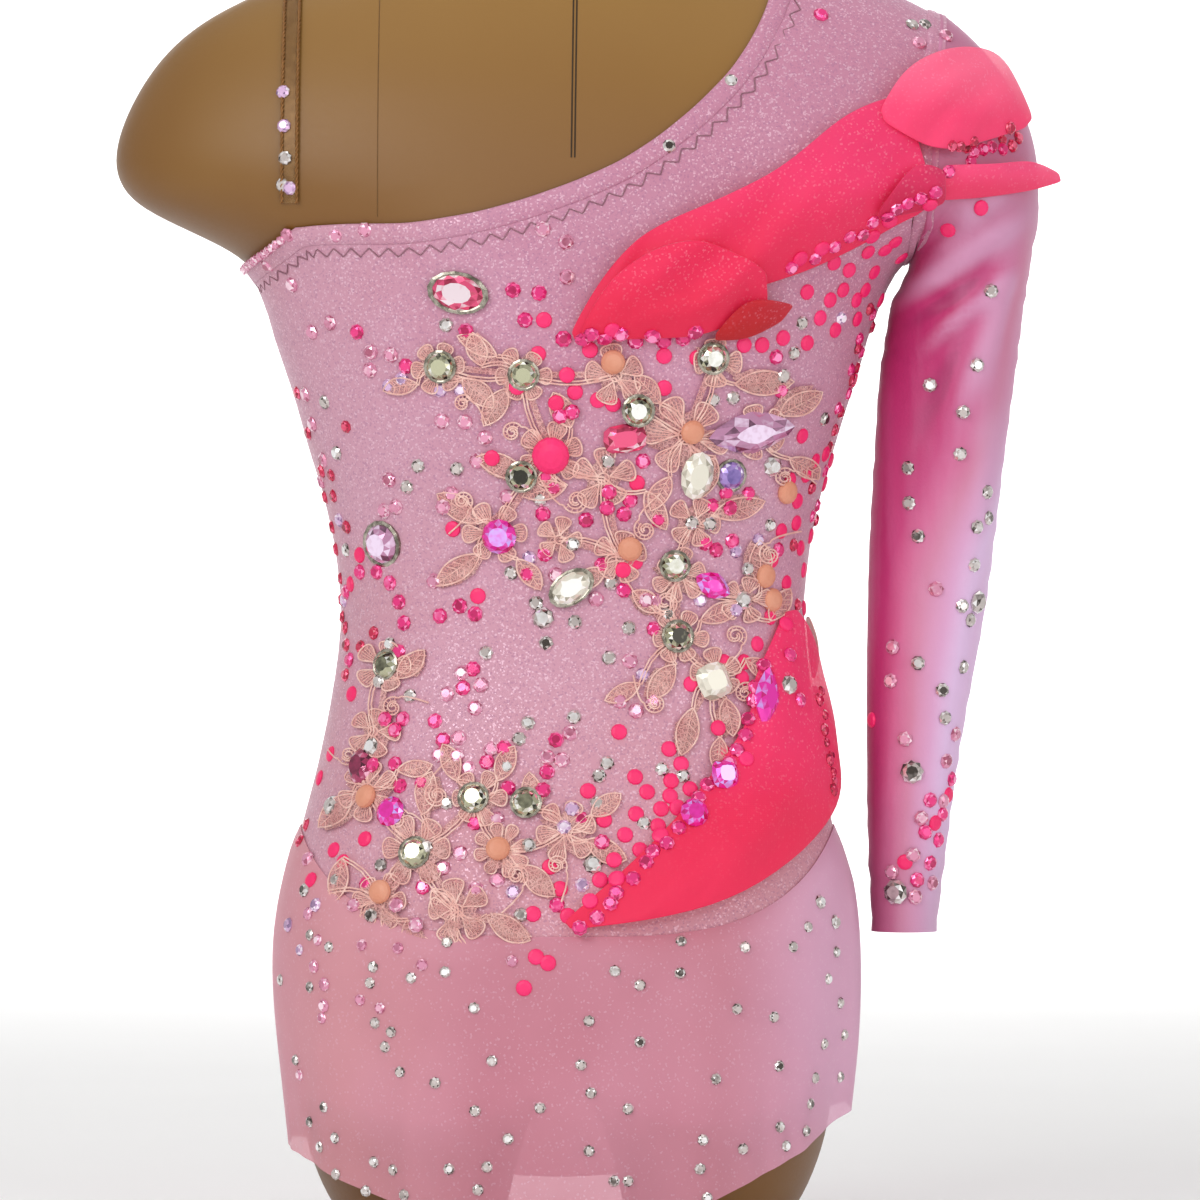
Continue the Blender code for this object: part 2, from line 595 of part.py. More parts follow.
def build_sleeve(parts, form_tree, body_tree):
    sheet = outward(skin(sleeve_rings(form_tree), capped=False))
    axis = Vector((SLEEVE_AXIS_X, SLEEVE_Y, ARMHOLE_LOW.z)) * MM
    facing = sum((face.calc_center_median() - axis).dot(face.normal) * face.calc_area()
                 for face in sheet.faces)
    if facing < 0:
        bmesh.ops.reverse_faces(sheet, faces=sheet.faces)
    head = [vert for vert in sheet.verts if vert.co.z > HEAD_LOW * MM and not vert.is_boundary]
    for _ in range(HEAD_SMOOTHING):
        bmesh.ops.smooth_vert(sheet, verts=head, factor=0.5, use_axis_x=True, use_axis_y=True,
                              use_axis_z=True)
        keep_clear(sheet, form_tree, HEAD_CLEAR, above=HEAD_CLEAR_FROM)
    keep_clear(sheet, body_tree, TUBE_CLEAR, below=TUBE_CLEAR_TO)
    for vert in sheet.verts:
        height = vert.co.z / MM
        turned_in = min(1.0, max(0.0, (ARMHOLE_TURN_TOP - height) / ARMHOLE_TURN_LENGTH))
        margin = 2 * SEAM_GAP + (CLOTH_WALL + SEAM_GAP) * turned_in
        if height > ARMHOLE_FROM:
            vert.co.x = max(vert.co.x, (armhole_x(height) + margin) * MM)
    sleeve = add_object("sleeve", sheet, parts, material("sleeve_velvet", VELVET_MAGENTA, 0.55))
    thicken(sleeve, CLOTH_WALL)
    return sheet


def keep_clear(shape, tree, least, above=-math.inf, below=math.inf):
    """Moves points that come nearer than this to a surface straight out from it."""
    groups = [tuple(face.verts) for face in shape.faces]
    groups += [tuple(edge.verts) for edge in shape.edges]
    groups += [(vert,) for vert in shape.verts]
    for _ in range(CLEARING_ROUNDS):
        for verts in groups:
            spot = sum((vert.co for vert in verts), Vector()) / len(verts)
            if above * MM < spot.z < below * MM:
                near, normal, _, _ = tree.find_nearest(spot)
                lack = least * MM - (spot - near).dot(normal)
                for vert in verts:
                    vert.co += normal * max(0.0, lack)
    shape.normal_update()


def skirt_clearance(drop, turn, wave_count):
    """Distance of the skirt from the form: close at its seam, fluted at its hem."""
    flare = drop ** SKIRT_FLARE_POWER
    wave = 0.5 - 0.5 * math.cos(math.tau * 2 * wave_count * turn)
    return SKIRT_CLEAR + SKIRT_STAND_OUT * flare + SKIRT_WAVE * flare * wave


def build_skirt(name, shape, parts, body_tree):
    first, last = (0.5, 1.0) if shape.side < 0 else (0.0, 0.5)
    columns = []
    for step in range(SKIRT_STEPS + 1):
        turn = first + (last - first) * step / SKIRT_STEPS
        across = math.cos(math.tau * turn)
        seam = shape.seam_middle + (shape.seam_side - shape.seam_middle) * abs(across) ** SEAM_CURVE
        hem_side = shape.hem_right if across > 0 else shape.hem_left
        hem = shape.hem_middle + (hem_side - shape.hem_middle) * abs(across) ** HEM_CURVE
        column = []
        for row in range(SKIRT_ROWS + 1):
            drop = row / SKIRT_ROWS
            height = seam + (hem - seam) * drop
            clear = skirt_clearance(drop, turn, shape.wave_count)
            x, y, _ = torso_point(max(height, FULLEST), turn, clear)
            tuck = 1 - max(0.0, FULLEST - height) * (TUCK_BACK + TUCK_SIDE * across * across)
            column.append(Vector((x * tuck, y * tuck + shape.side * SKIRT_SIDE_GAP, height)))
        columns.append(column)
    sheet = skin(columns, capped=False, closed_round=False)
    face = sheet.faces[:][len(sheet.faces) // 2]
    if face.normal.y * shape.side < 0:
        bmesh.ops.reverse_faces(sheet, faces=sheet.faces)
        sheet.normal_update()
    keep_clear(sheet, body_tree, SKIRT_LEG_CLEAR)
    skirt = add_object(name, sheet, parts, material("sheer_skirt", SHEER_PINK, 0.5, alpha=0.6))
    thicken(skirt, CHIFFON_WALL)
    return skirt


def lay_on(tree, point):
    """A point of the photo's plane put on the dressed form, and lifted off along its normal."""
    start = Vector((point.x, PHOTO_SIDE_Y, point.z)) * MM
    hit, normal, _, _ = tree.ray_cast(start, Vector((0, 1, 0)))
    if not hit:
        return Vector((point.x, FREE_Y - point.lift, point.z)) * MM
    return hit + normal * point.lift * MM


def along_curve(points, share):
    """Catmull-Rom curve through a list of vectors."""
    place = share * (len(points) - 1)
    index = min(int(place), len(points) - 2)
    t = place - index
    p1, p2 = points[index], points[index + 1]
    p0 = points[max(index - 1, 0)]
    p3 = points[min(index + 2, len(points) - 1)]
    return 0.5 * (2 * p1 + (p2 - p0) * t + (2 * p0 - 5 * p1 + 4 * p2 - p3) * t * t
                  + (3 * p1 - p0 - 3 * p2 + p3) * t ** 3)


def build_petal(name, petal, parts, tree):
    sewn = [lay_on(tree, point) for point in petal.sewn]
    free = [lay_on(tree, point) for point in petal.free]
    sewn_lift = petal.sewn[0].lift
    free_lift = max(point.lift for point in petal.free)
    rows = []
    for step in range(petal.along + 1):
        share = step / petal.along
        low, high = along_curve(sewn, share), along_curve(free, share)
        row = []
        for part in range(petal.across + 1):
            way = part / petal.across
            spot = low.lerp(high, way)
            near, normal, _, _ = tree.find_nearest(spot)
            puff = petal.puff * math.sin(math.pi * way) * math.sin(math.pi * share) ** PUFF_POWER
            ripple = PETAL_RIPPLE * way * math.sin(math.tau * PETAL_RIPPLES * share)
            tip_taper = TIP_SHARE + (1 - TIP_SHARE) * math.sin(math.pi * share)
            wanted = sewn_lift + (free_lift - sewn_lift) * way * tip_taper + puff + ripple
            lack = max(0.0, wanted - (spot - near).dot(normal) / MM)
            row.append(spot / MM + normal * lack)
        rows.append(row)
    sheet = skin(rows, capped=False, closed_round=False)
    face = sheet.faces[:][len(sheet.faces) // 2]
    if face.normal.y > 0:
        bmesh.ops.reverse_faces(sheet, faces=sheet.faces)
        sheet.normal_update()
    keep_clear(sheet, tree, PETAL_CLEAR)
    finish = material(f"chiffon_{name}", petal.colour, 0.5, alpha=0.9)
    made = add_object(name, sheet, parts, finish)
    thicken(made, CHIFFON_WALL)
    return made


def build_side_petal(name, petal, parts, tree):
    """A small leaf of chiffon standing off the side seam."""
    rows = []
    for step in range(SIDE_PETAL_ALONG + 1):
        share = step / SIDE_PETAL_ALONG
        height = petal.low_z + (petal.high_z - petal.low_z) * share
        bulge = math.sin(math.pi * (0.08 + 0.84 * share))
        half = petal.half_length * SIDE_PETAL_WIDTH * bulge + SIDE_PETAL_TIP
        row = []
        for part in range(SIDE_PETAL_ACROSS + 1):
            y = petal.middle_y - half * 0.6 + 2 * half * part / SIDE_PETAL_ACROSS
            start = Vector((SIDE_PETAL_START, y, height)) * MM
            hit, _, _, _ = tree.ray_cast(start, Vector((-1, 0, 0)))
            lift = SIDE_PETAL_SEAT + petal.reach * bulge * (1 - 0.25 * part)
            row.append(Vector((hit.x / MM + lift, y, height)))
        rows.append(row)
    sheet = skin(rows, capped=False, closed_round=False)
    if sheet.faces[:][0].normal.x < 0:
        bmesh.ops.reverse_faces(sheet, faces=sheet.faces)
        sheet.normal_update()
    keep_clear(sheet, tree, SIDE_PETAL_CLEAR)
    made = add_object(name, sheet, parts, material("chiffon_side", PEACH, 0.5, alpha=0.9))
    thicken(made, CHIFFON_WALL)
    return made


def build_strap(parts, form_tree):
    """A narrow ribbon over the bare shoulder, from the back neckline to the front one."""
    centre = Vector((STRAP_X, 0, STRAP_CENTRE_Z)) * MM
    half_width = Vector((STRAP_WIDTH / 2 * MM, 0, 0))
    spots = []
    for step in range(STRAP_STEPS + 1):
        angle = math.radians(STRAP_FROM_DEGREES - STRAP_SWEEP_DEGREES * step / STRAP_STEPS)
        way = Vector((0, math.cos(angle), math.sin(angle)))
        spot = form_tree.ray_cast(centre, way)[0]
        starts = (centre - half_width, centre, centre + half_width)
        around = [form_tree.ray_cast(start, way)[1] for start in starts]
        spots.append((spot / MM, sum(around, Vector()).normalized()))
    spots = [(spot, normal) for spot, normal in spots if spot.z > STRAP_ENDS_Z]
    rings = []
    for index, (spot, normal) in enumerate(spots):
        before, after = spots[max(index - 1, 0)][0], spots[min(index + 1, len(spots) - 1)][0]
        across = (after - before).cross(normal).normalized() * STRAP_WIDTH / 2
        low, high = spot + normal * STRAP_CLEAR, spot + normal * (STRAP_CLEAR + STRAP_THICKNESS)
        rings.append([low - across, low + across, high + across, high - across])
    ribbon = outward(skin(rings))
    keep_clear(ribbon, form_tree, STRAP_LEAST_CLEAR)
    finish = material("strap_cord", GOLD_BROWN, 0.4, 0.3)
    return add_object("strap", ribbon, parts, finish)


def flower_outline(flower):
    points = []
    count = flower.petals * FLOWER_POINTS
    for step in range(count):
        angle = math.tau * step / count + math.radians(flower.turn)
        lobe = abs(math.cos(flower.petals * (angle - math.radians(flower.turn)) / 2))
        radius = flower.radius * (FLOWER_NECK + (1 - FLOWER_NECK) * lobe ** 0.6)
        points.append(OutlinePoint(flower.x + radius * math.cos(angle),
                                   flower.z + radius * math.sin(angle)))
    return points


def leaf_outline(leaf):
    direction = math.radians(leaf.direction)
    ahead = Vector((math.cos(direction), math.sin(direction)))
    aside = Vector((-ahead.y, ahead.x))
    outline = []
    for step in range(2 * LEAF_STEPS):
        share = step / LEAF_STEPS if step <= LEAF_STEPS else 2 - step / LEAF_STEPS
        side = 1 if step <= LEAF_STEPS else -1
        half = leaf.width / 2 * math.sin(math.pi * (LEAF_END + (1 - LEAF_END) * share)) + 0.3
        spot = ahead * (leaf.length * share) + aside * (half * side)
        outline.append(OutlinePoint(leaf.x + spot.x, leaf.z + spot.y))
    return outline


def stem_outline(start, end):
    along = Vector((end.x - start.x, end.z - start.z)).normalized()
    aside = Vector((-along.y, along.x)) * STEM_WIDTH / 2
    corners = ((start, 1), (end, 1), (end, -1), (start, -1))
    return [OutlinePoint(spot.x + aside.x * side, spot.z + aside.y * side) for spot, side in corners]


def inside_leaf(leaf):
    direction = math.radians(leaf.direction)
    reach = leaf.length * STEM_INSIDE_LEAF
    return OutlinePoint(leaf.x + reach * math.cos(direction), leaf.z + reach * math.sin(direction))


def nearest_flower(spot, flowers):
    return min(flowers, key=lambda other: (other.x - spot.x) ** 2 + (other.z - spot.z) ** 2)


def lace_stems(layout):
    """Stems tie each leaf and each flower to the nearest earlier flower."""
    flowers = layout["flowers"]
    stems = [stem_outline(inside_leaf(leaf), nearest_flower(leaf, flowers)) for leaf in layout["leaves"]]
    for index in range(1, len(flowers)):
        stems.append(stem_outline(flowers[index], nearest_flower(flowers[index], flowers[:index])))
    return stems


def build_lace(name, layout, parts, cutters, torso):
    outlines = [flower_outline(flower) for flower in layout["flowers"]]
    outlines += [leaf_outline(leaf) for leaf in layout["leaves"]]
    outlines += lace_stems(layout)
    motifs = bmesh.new()
    for number, outline in enumerate(outlines):
        near = MOTIF_NEAR - MOTIF_NEAR_STEP * number
        far = MOTIF_FAR + MOTIF_FAR_STEP * number % MOTIF_FAR_SPAN
        piece = prism(outline, near, far)
        mesh = bpy.data.meshes.new("motif")
        piece.to_mesh(mesh)
        motifs.from_mesh(mesh)
        bpy.data.meshes.remove(mesh)
    tool = add_cutter(f"{name}_motifs", motifs, cutters)
    lace = add_object(name, moved_out(torso, LACE_OUTER), parts, material("lace", LACE_PEACH, 0.7))
    boolean(lace, "INTERSECT", tool, self_crossing=True)
    hollow = add_cutter(f"{name}_hollow", moved_out(torso, LACE_INNER), cutters)
    boolean(lace, "DIFFERENCE", hollow)
    flatten = lace.modifiers.new("merge_flat_faces", "DECIMATE")
    flatten.decimate_type = "DISSOLVE"
    flatten.angle_limit = math.radians(LACE_FLATNESS)
    return lace


def highest_under(trees, spot, normal):
    """Height of the topmost cloth or lace under a point, measured along the stone's own axis."""
    best = None
    for tree in trees:
        hit, _, _, distance = tree.ray_cast(spot + normal * STONE_PROBE, -normal, 2 * STONE_PROBE)
        if hit and (best is None or STONE_PROBE - distance > best):
            best = STONE_PROBE - distance
    return best if best is not None else 0.0


def build_stone(name, stone, parts, trees):
    start = Vector((stone.x, PHOTO_SIDE_Y, stone.z)) * MM
    hit, normal, _, _ = trees[0].ray_cast(start, Vector((0, 1, 0)))
    turn = math.radians(stone.turn)
    level = Vector((0, 0, 1)).cross(normal).normalized() * -1
    upright = normal.cross(level).normalized()
    if level.x < 0:
        level, upright = -level, upright
    if upright.z < 0:
        upright = -upright
    outline = []
    for step in range(STONE_SIDES):
        angle = math.tau * step / STONE_SIDES
        power = 2 / stone.cut
        u = stone.length / 2 * rounded(math.cos(angle), power)
        v = stone.width / 2 * rounded(math.sin(angle), power)
        across = u * math.cos(turn) - v * math.sin(turn)
        up = u * math.sin(turn) + v * math.cos(turn)
        outline.append((level * across + upright * up) * MM)
    spots = [hit] + [hit + share * offset for offset in outline for share in (0.5, 1.0)]
    seat = max(highest_under(trees, spot, normal) for spot in spots)
    base = hit + normal * (seat + STONE_CLEAR * MM)
    height = min(stone.length, stone.width) * STONE_DOME * MM
    levels = ((1.0, 0.0), (STONE_TABLE, 1.0))
    rings = [[(base + offset * scale + normal * height * rise) / MM for offset in outline]
             for scale, rise in levels]
    gem = material(f"gem_{name}", stone.colour, 0.12)
    return add_object(name, outward(skin(rings)), parts, gem)


def joined_tree(*shapes):
    """One search tree over several shapes."""
    joined = bmesh.new()
    for shape in shapes:
        mesh = bpy.data.meshes.new("layer")
        shape.to_mesh(mesh)
        joined.from_mesh(mesh)
        bpy.data.meshes.remove(mesh)
    return BVHTree.FromBMesh(joined)


def evaluated_tree(*things):
    """One search tree over the finished surfaces of several objects."""
    graph = bpy.context.evaluated_depsgraph_get()
    joined = bmesh.new()
    for thing in things:
        mesh = bpy.data.meshes.new_from_object(thing.evaluated_get(graph))
        joined.from_mesh(mesh)
        bpy.data.meshes.remove(mesh)
    return BVHTree.FromBMesh(joined)


def centre_on_origin(parts, cutters):
    """Everything hangs from one empty, which puts the middle of the part's box over the origin."""
    graph = bpy.context.evaluated_depsgraph_get()
    corners = [thing.matrix_world @ Vector(corner) for thing in parts.objects
               for corner in thing.evaluated_get(graph).bound_box]
    lowest = Vector(min(corner[axis] for corner in corners) for axis in range(3))
    highest = Vector(max(corner[axis] for corner in corners) for axis in range(3))
    stand = bpy.data.objects.new("stand_point", None)
    bpy.context.scene.collection.objects.link(stand)
    for thing in (*parts.objects, *cutters.objects):
        thing.parent = stand
    middle = (lowest + highest) / 2
    stand.location = (-middle.x, -middle.y, -lowest.z)


def build():
    clear_scene()
    parts = collection("rhythmic_leotard")
    cutters = collection("cutters", hidden=True)
    torso = torso_shape()
    legs = {"left": leg_shape(-1), "right": leg_shape(1)}
    form = build_form(parts, cutters, torso, legs)
    form_tree = evaluated_tree(form)

    back_outline = panel_outline(BACK_NECKLINE, BACK_LEG_OPENING)
    front_outline = panel_outline(FRONT_NECKLINE, FRONT_LEG_OPENING)
    half_seam = SEAM_GAP / 2
    back = build_panel("back_panel", parts, cutters, torso, legs, back_outline, -200, -half_seam)
    front = build_panel("front_panel", parts, cutters, torso, legs, front_outline, half_seam, 200)
    body_layers = [moved_out(shape, PANEL_OUTER) for shape in (torso, *legs.values())]
    body_tree = joined_tree(*body_layers)

    sleeve_sheet = build_sleeve(parts, form_tree, body_tree)
    build_strap(parts, form_tree)
    for name, shape in SKIRTS.items():
        build_skirt(name, shape, parts, body_tree)

    outer_tree = joined_tree(moved_out(torso, PANEL_OUTER), moved_out(sleeve_sheet, CLOTH_WALL))
    laces = [build_lace(name, layout, parts, cutters, torso) for name, layout in LACE.items()]
    petals = [build_petal(name, petal, parts, outer_tree) for name, petal in PETALS.items()]
    for name, petal in SIDE_PETALS.items():
        build_side_petal(name, petal, parts, body_tree)
    trimming_tree = evaluated_tree(*laces, *petals)
    for name, stone in STONES.items():
        build_stone(name, stone, parts, (body_tree, trimming_tree))
    centre_on_origin(parts, cutters)


build()
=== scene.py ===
import bpy
import bmesh
import json
import math
import random
from contextlib import contextmanager
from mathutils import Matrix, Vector
from mathutils.bvhtree import BVHTree


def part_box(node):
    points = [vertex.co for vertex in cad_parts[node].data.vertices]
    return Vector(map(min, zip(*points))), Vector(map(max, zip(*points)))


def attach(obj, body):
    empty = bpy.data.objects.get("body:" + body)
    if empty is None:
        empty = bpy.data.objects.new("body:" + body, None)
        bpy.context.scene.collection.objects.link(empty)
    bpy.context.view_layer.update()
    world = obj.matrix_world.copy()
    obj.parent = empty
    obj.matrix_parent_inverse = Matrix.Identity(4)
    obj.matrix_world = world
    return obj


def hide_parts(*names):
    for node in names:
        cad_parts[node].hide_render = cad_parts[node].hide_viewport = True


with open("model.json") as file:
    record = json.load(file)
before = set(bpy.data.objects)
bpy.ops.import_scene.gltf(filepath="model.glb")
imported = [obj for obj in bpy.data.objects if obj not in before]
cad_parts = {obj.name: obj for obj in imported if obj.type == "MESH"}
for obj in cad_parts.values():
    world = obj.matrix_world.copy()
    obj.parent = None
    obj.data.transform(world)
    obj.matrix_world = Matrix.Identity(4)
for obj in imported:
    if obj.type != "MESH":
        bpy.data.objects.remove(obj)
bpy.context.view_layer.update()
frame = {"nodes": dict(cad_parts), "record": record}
random.seed(7)
print("frame loaded")

mm = 0.001  # the garment's sizes are in millimetres, unless a note says otherwise

# The photograph: 1200 pixels across, seen level from the garment's back
photo = {
    "pixel": 0.42,  # millimetres of the part for each pixel
    "middleX": 572,  # in pixels, like the next two
    "groundY": 1245,
    "centre": 600,
    "distance": 3000,
    "across": 504,
    "shiftX": -5.696,  # the part is centred over the origin
    "shiftY": 4.372,
}


def place(x, y, z):
    return Vector((x + photo["shiftX"], y + photo["shiftY"], z)) * mm


def flatSpot(px, py):
    return (px - photo["middleX"]) * photo["pixel"], (photo["groundY"] - py) * photo["pixel"]


def fromPixel(px, py, y=0):
    x, z = flatSpot(px, py)
    return place(x, y, z)


def modelX(co):
    return co.x / mm - photo["shiftX"]


def modelY(co):
    return co.y / mm - photo["shiftY"]


def rgb(red, green, blue, alpha=1.0):
    parts = []
    for part in (red, green, blue):
        share = part / 255
        parts.append(share / 12.92 if share <= 0.04045 else ((share + 0.055) / 1.055) ** 2.4)
    return (*parts, alpha)


# Small helpers for modelling


def only(piece):
    bpy.ops.object.select_all(action="DESELECT")
    piece.select_set(True)
    bpy.context.view_layer.objects.active = piece


def applyStep(piece, kind, **settings):
    only(piece)
    step = piece.modifiers.new("step", kind)
    for name, value in settings.items():
        setattr(step, name, value)
    bpy.ops.object.modifier_apply(modifier=step.name)


def newPiece(name, shape):
    mesh = bpy.data.meshes.new(name)
    shape.to_mesh(mesh)
    shape.free()
    piece = bpy.data.objects.new(name, mesh)
    bpy.context.scene.collection.objects.link(piece)
    return piece


def cloneNode(node, name):
    shape = bmesh.new()
    shape.from_mesh(frame["nodes"][node].data)
    bmesh.ops.remove_doubles(shape, verts=shape.verts, dist=0.00002)
    return newPiece(name, shape)


@contextmanager
def editing(piece):
    shape = bmesh.new()
    shape.from_mesh(piece.data)
    yield shape
    shape.to_mesh(piece.data)
    shape.free()


@contextmanager
def editMode(piece):
    only(piece)
    bpy.ops.object.mode_set(mode="EDIT")
    bpy.ops.mesh.select_all(action="SELECT")
    yield
    bpy.ops.object.mode_set(mode="OBJECT")


def makeQuads(piece):
    with editMode(piece):
        bpy.ops.mesh.tris_convert_to_quads(face_threshold=0.7, shape_threshold=0.9)


def pinRims(piece):
    with editing(piece) as shape:
        crease = shape.edges.layers.float.get("crease_edge") or shape.edges.layers.float.new("crease_edge")
        for edge in shape.edges:
            if edge.is_boundary:
                edge[crease] = 1.0


def keepFaces(piece, wanted):
    with editing(piece) as shape:
        gone = [face for face in shape.faces if not wanted(face.calc_center_median(), face.normal)]
        bmesh.ops.delete(shape, geom=gone, context="FACES")


def moveVerts(piece, mover):
    piece.data.update()
    with editing(piece) as shape:
        moves = [mover(vert.co) for vert in shape.verts]
        for vert, move in zip(shape.verts, moves):
            vert.co += move
    piece.data.update()


# turns a sheet's faces over when most of them look inward
def facesOut(piece, outside):
    with editing(piece) as shape:
        shape.normal_update()
        votes = sum(outside(face.calc_center_median()).dot(face.normal) * face.calc_area()
                    for face in shape.faces)
        if votes < 0:
            bmesh.ops.reverse_faces(shape, faces=shape.faces)


def smoothShade(piece, angle=None):
    only(piece)
    if angle is None:
        bpy.ops.object.shade_smooth()
    else:
        bpy.ops.object.shade_smooth_by_angle(angle=math.radians(angle))


def searchTree(*pieces):
    joined = bmesh.new()
    for piece in pieces:
        joined.from_mesh(piece.data)
    tree = BVHTree.FromBMesh(joined)
    joined.free()
    return tree


def finishPiece(piece, paint, slot, *nodes):
    piece.data.materials.clear()
    piece.data.materials.append(paint)
    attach(piece, "root")
    if nodes:
        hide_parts(*nodes)
    return piece


# Shader maths as plain sums


class Wire:
    def __init__(self, paint, socket):
        self.paint, self.socket = paint, socket

    def sum(self, operation, first, second):
        return self.paint.node("ShaderNodeMath", {"operation": operation}, {0: first, 1: second})

    def __add__(self, other):
        return self.sum("ADD", self, other)

    __radd__ = __add__

    def __mul__(self, other):
        return self.sum("MULTIPLY", self, other)

    __rmul__ = __mul__

    def __sub__(self, other):
        return self.sum("SUBTRACT", self, other)

    def __rsub__(self, other):
        return self.sum("SUBTRACT", other, self)

    def __truediv__(self, other):
        return self.sum("DIVIDE", self, other)

    def ramped(self, low, high):
        return self.paint.node("ShaderNodeMapRange", {"interpolation_type": "SMOOTHSTEP"},
                               {"Value": self, "From Min": low, "From Max": high})


class Paint:
    def __init__(self, name):
        self.material = bpy.data.materials.new(name)
        self.material.use_nodes = True
        self.tree = self.material.node_tree
        self.tree.nodes.clear()
        self.out = self.tree.nodes.new("ShaderNodeOutputMaterial")
        self.where = self.node("ShaderNodeTexCoord", output="Object")

    def node(self, kind, settings=None, inputs=None, output=0):
        made = self.tree.nodes.new(kind)
        for name, value in (settings or {}).items():
            if name == "stops":
                while len(made.color_ramp.elements) < len(value):
                    made.color_ramp.elements.new(0.5)
                for element, (spot, colour) in zip(made.color_ramp.elements, value):
                    element.position = spot
                    element.color = colour
            else:
                setattr(made, name, value)
        for name, value in (inputs or {}).items():
            socket = made.inputs[name]
            if isinstance(value, Wire):
                self.tree.links.new(value.socket, socket)
            else:
                socket.default_value = value
        return Wire(self, made.outputs[output])

    def axis(self, name):
        return self.node("ShaderNodeSeparateXYZ", None, {"Vector": self.where}, output=name)

    def scaled(self, x, y, z):
        return self.node("ShaderNodeMapping", None, {"Vector": self.where, "Scale": (x, y, z)})

    def noise(self, scale, detail=2.0, vector=None):
        return self.node("ShaderNodeTexNoise", None,
                         {"Vector": vector or self.where, "Scale": scale, "Detail": detail})

    def cells(self, scale, output="Color", feature="F1", vector=None):
        return self.node("ShaderNodeTexVoronoi", {"feature": feature},
                         {"Vector": vector or self.where, "Scale": scale}, output=output)

    def speck(self, scale, channel):
        return self.node("ShaderNodeSeparateColor", None, {"Color": self.cells(scale)}, output=channel)

    def waves(self, scale, direction, distortion=0.0, vector=None):
        return self.node("ShaderNodeTexWave", {"bands_direction": direction},
                         {"Vector": vector or self.where, "Scale": scale, "Distortion": distortion})

    def ramp(self, value, *stops):
        return self.node("ShaderNodeValToRGB", {"stops": stops}, {"Fac": value})

    def mix(self, share, first, second, blend="MIX"):
        return self.node("ShaderNodeMix", {"data_type": "RGBA", "blend_type": blend},
                         {0: share, 6: first, 7: second}, output=2)

    def bump(self, height, strength, distance):
        return self.node("ShaderNodeBump", None,
                         {"Height": height, "Strength": strength, "Distance": distance})

    def attribute(self, name):
        return self.node("ShaderNodeAttribute", {"attribute_name": name}, output="Fac")

    def surface(self, **inputs):
        named = {name.replace("_", " "): value for name, value in inputs.items()}
        return self.node("ShaderNodeBsdfPrincipled", None, named)

    def blendShaders(self, share, first, second):
        return self.node("ShaderNodeMixShader", None, {0: share, 1: first, 2: second})

    def seeThrough(self, colour=(1, 1, 1, 1)):
        return self.node("ShaderNodeBsdfTransparent", None, {"Color": colour})

    def done(self, shader):
        self.tree.links.new(shader.socket, self.out.inputs["Surface"])
        return self.material


# Materials, whose patterns read places in metres


def glitterStretch():
    paint = Paint("glitterStretch")
    height = paint.axis("Z")
    side = paint.axis("X")
    broad = paint.noise(9.0, 3.0)
    low = height.ramped(0.34, 0.10)
    left = side.ramped(-0.02, -0.13)
    top = rgb(192, 128, 154)
    middle = rgb(200, 146, 168)
    warm = rgb(208, 144, 154)
    cloth = paint.mix(height.ramped(0.40, 0.30), top, middle)
    cloth = paint.mix(low * 0.75, cloth, warm)
    cloth = paint.mix(left * 0.55, cloth, rgb(202, 150, 160))
    cloth = paint.mix(broad.ramped(0.42, 0.62) * 0.35, cloth, rgb(208, 160, 184))
    spark = paint.speck(1500.0, "Red")
    light = spark.ramped(0.80, 0.97)
    dark = spark.ramped(0.22, 0.05)
    # the light specks: partly the glitter's own flakes, partly painted glints mixed into the base colour
    cloth = paint.mix(light * 0.45, cloth, rgb(244, 212, 228))
    cloth = paint.mix(dark * 0.35, cloth, rgb(150, 96, 136))
    rough = 0.55 - 0.22 * light
    fine = paint.noise(1800.0, 1.0)
    return paint.done(paint.surface(
        Base_Color=cloth, Roughness=rough, Metallic=light * 0.25,
        Normal=paint.bump(fine + spark * 0.5, 0.25, 0.0004),
        Sheen_Weight=0.25, Sheen_Roughness=0.4, Sheen_Tint=(1.0, 0.85, 0.95, 1.0)))


def sleeveVelvet():
    paint = Paint("sleeveVelvet")
    height, side = paint.axis("Z"), paint.axis("X")
    inner = 0.1175 + height.ramped(0.29, 0.46) * 0.020
    width = 0.0275 + height.ramped(0.13, 0.45) * 0.030
    across = (side - inner) / width
    drift = paint.noise(16.0, 3.0, paint.scaled(1.0, 1.0, 0.28))
    across = across + (drift - 0.5) * 0.35 - height.ramped(0.27, 0.36) * 0.40
    cloth = paint.ramp(across, (0.0, rgb(184, 38, 106)), (0.16, rgb(190, 52, 116)),
                       (0.34, rgb(204, 92, 140)), (0.55, rgb(206, 126, 160)),
                       (0.80, rgb(216, 160, 200)), (1.0, rgb(226, 192, 230)))
    low = height.ramped(0.20, 0.13)
    cloth = paint.mix(low * 0.45, cloth, rgb(180, 120, 146))
    head = height.ramped(0.41, 0.44)
    cloth = paint.mix(head * 0.75, cloth, rgb(190, 130, 160))
    # painted sheen and shade: fold ridges painted lighter lilac, fold troughs painted deep magenta
    lifted = paint.attribute("lifted")
    cloth = paint.mix(lifted.ramped(0.10, 1.15) * 0.60, cloth, rgb(214, 172, 206))
    cloth = paint.mix(lifted.ramped(0.02, -0.30) * 0.6, cloth, rgb(150, 26, 88))
    nap = paint.noise(900.0, 2.0)
    streak = paint.noise(60.0, 3.0, paint.scaled(1.0, 1.0, 0.12))
    cloth = paint.mix(streak.ramped(0.40, 0.75) * 0.22, cloth, rgb(222, 164, 200))
    return paint.done(paint.surface(
        Base_Color=cloth, Roughness=0.62 - 0.15 * nap, Normal=paint.bump(nap, 0.22, 0.0004),
        Sheen_Weight=0.22, Sheen_Roughness=0.3, Sheen_Tint=(1.0, 0.80, 0.95, 1.0)))


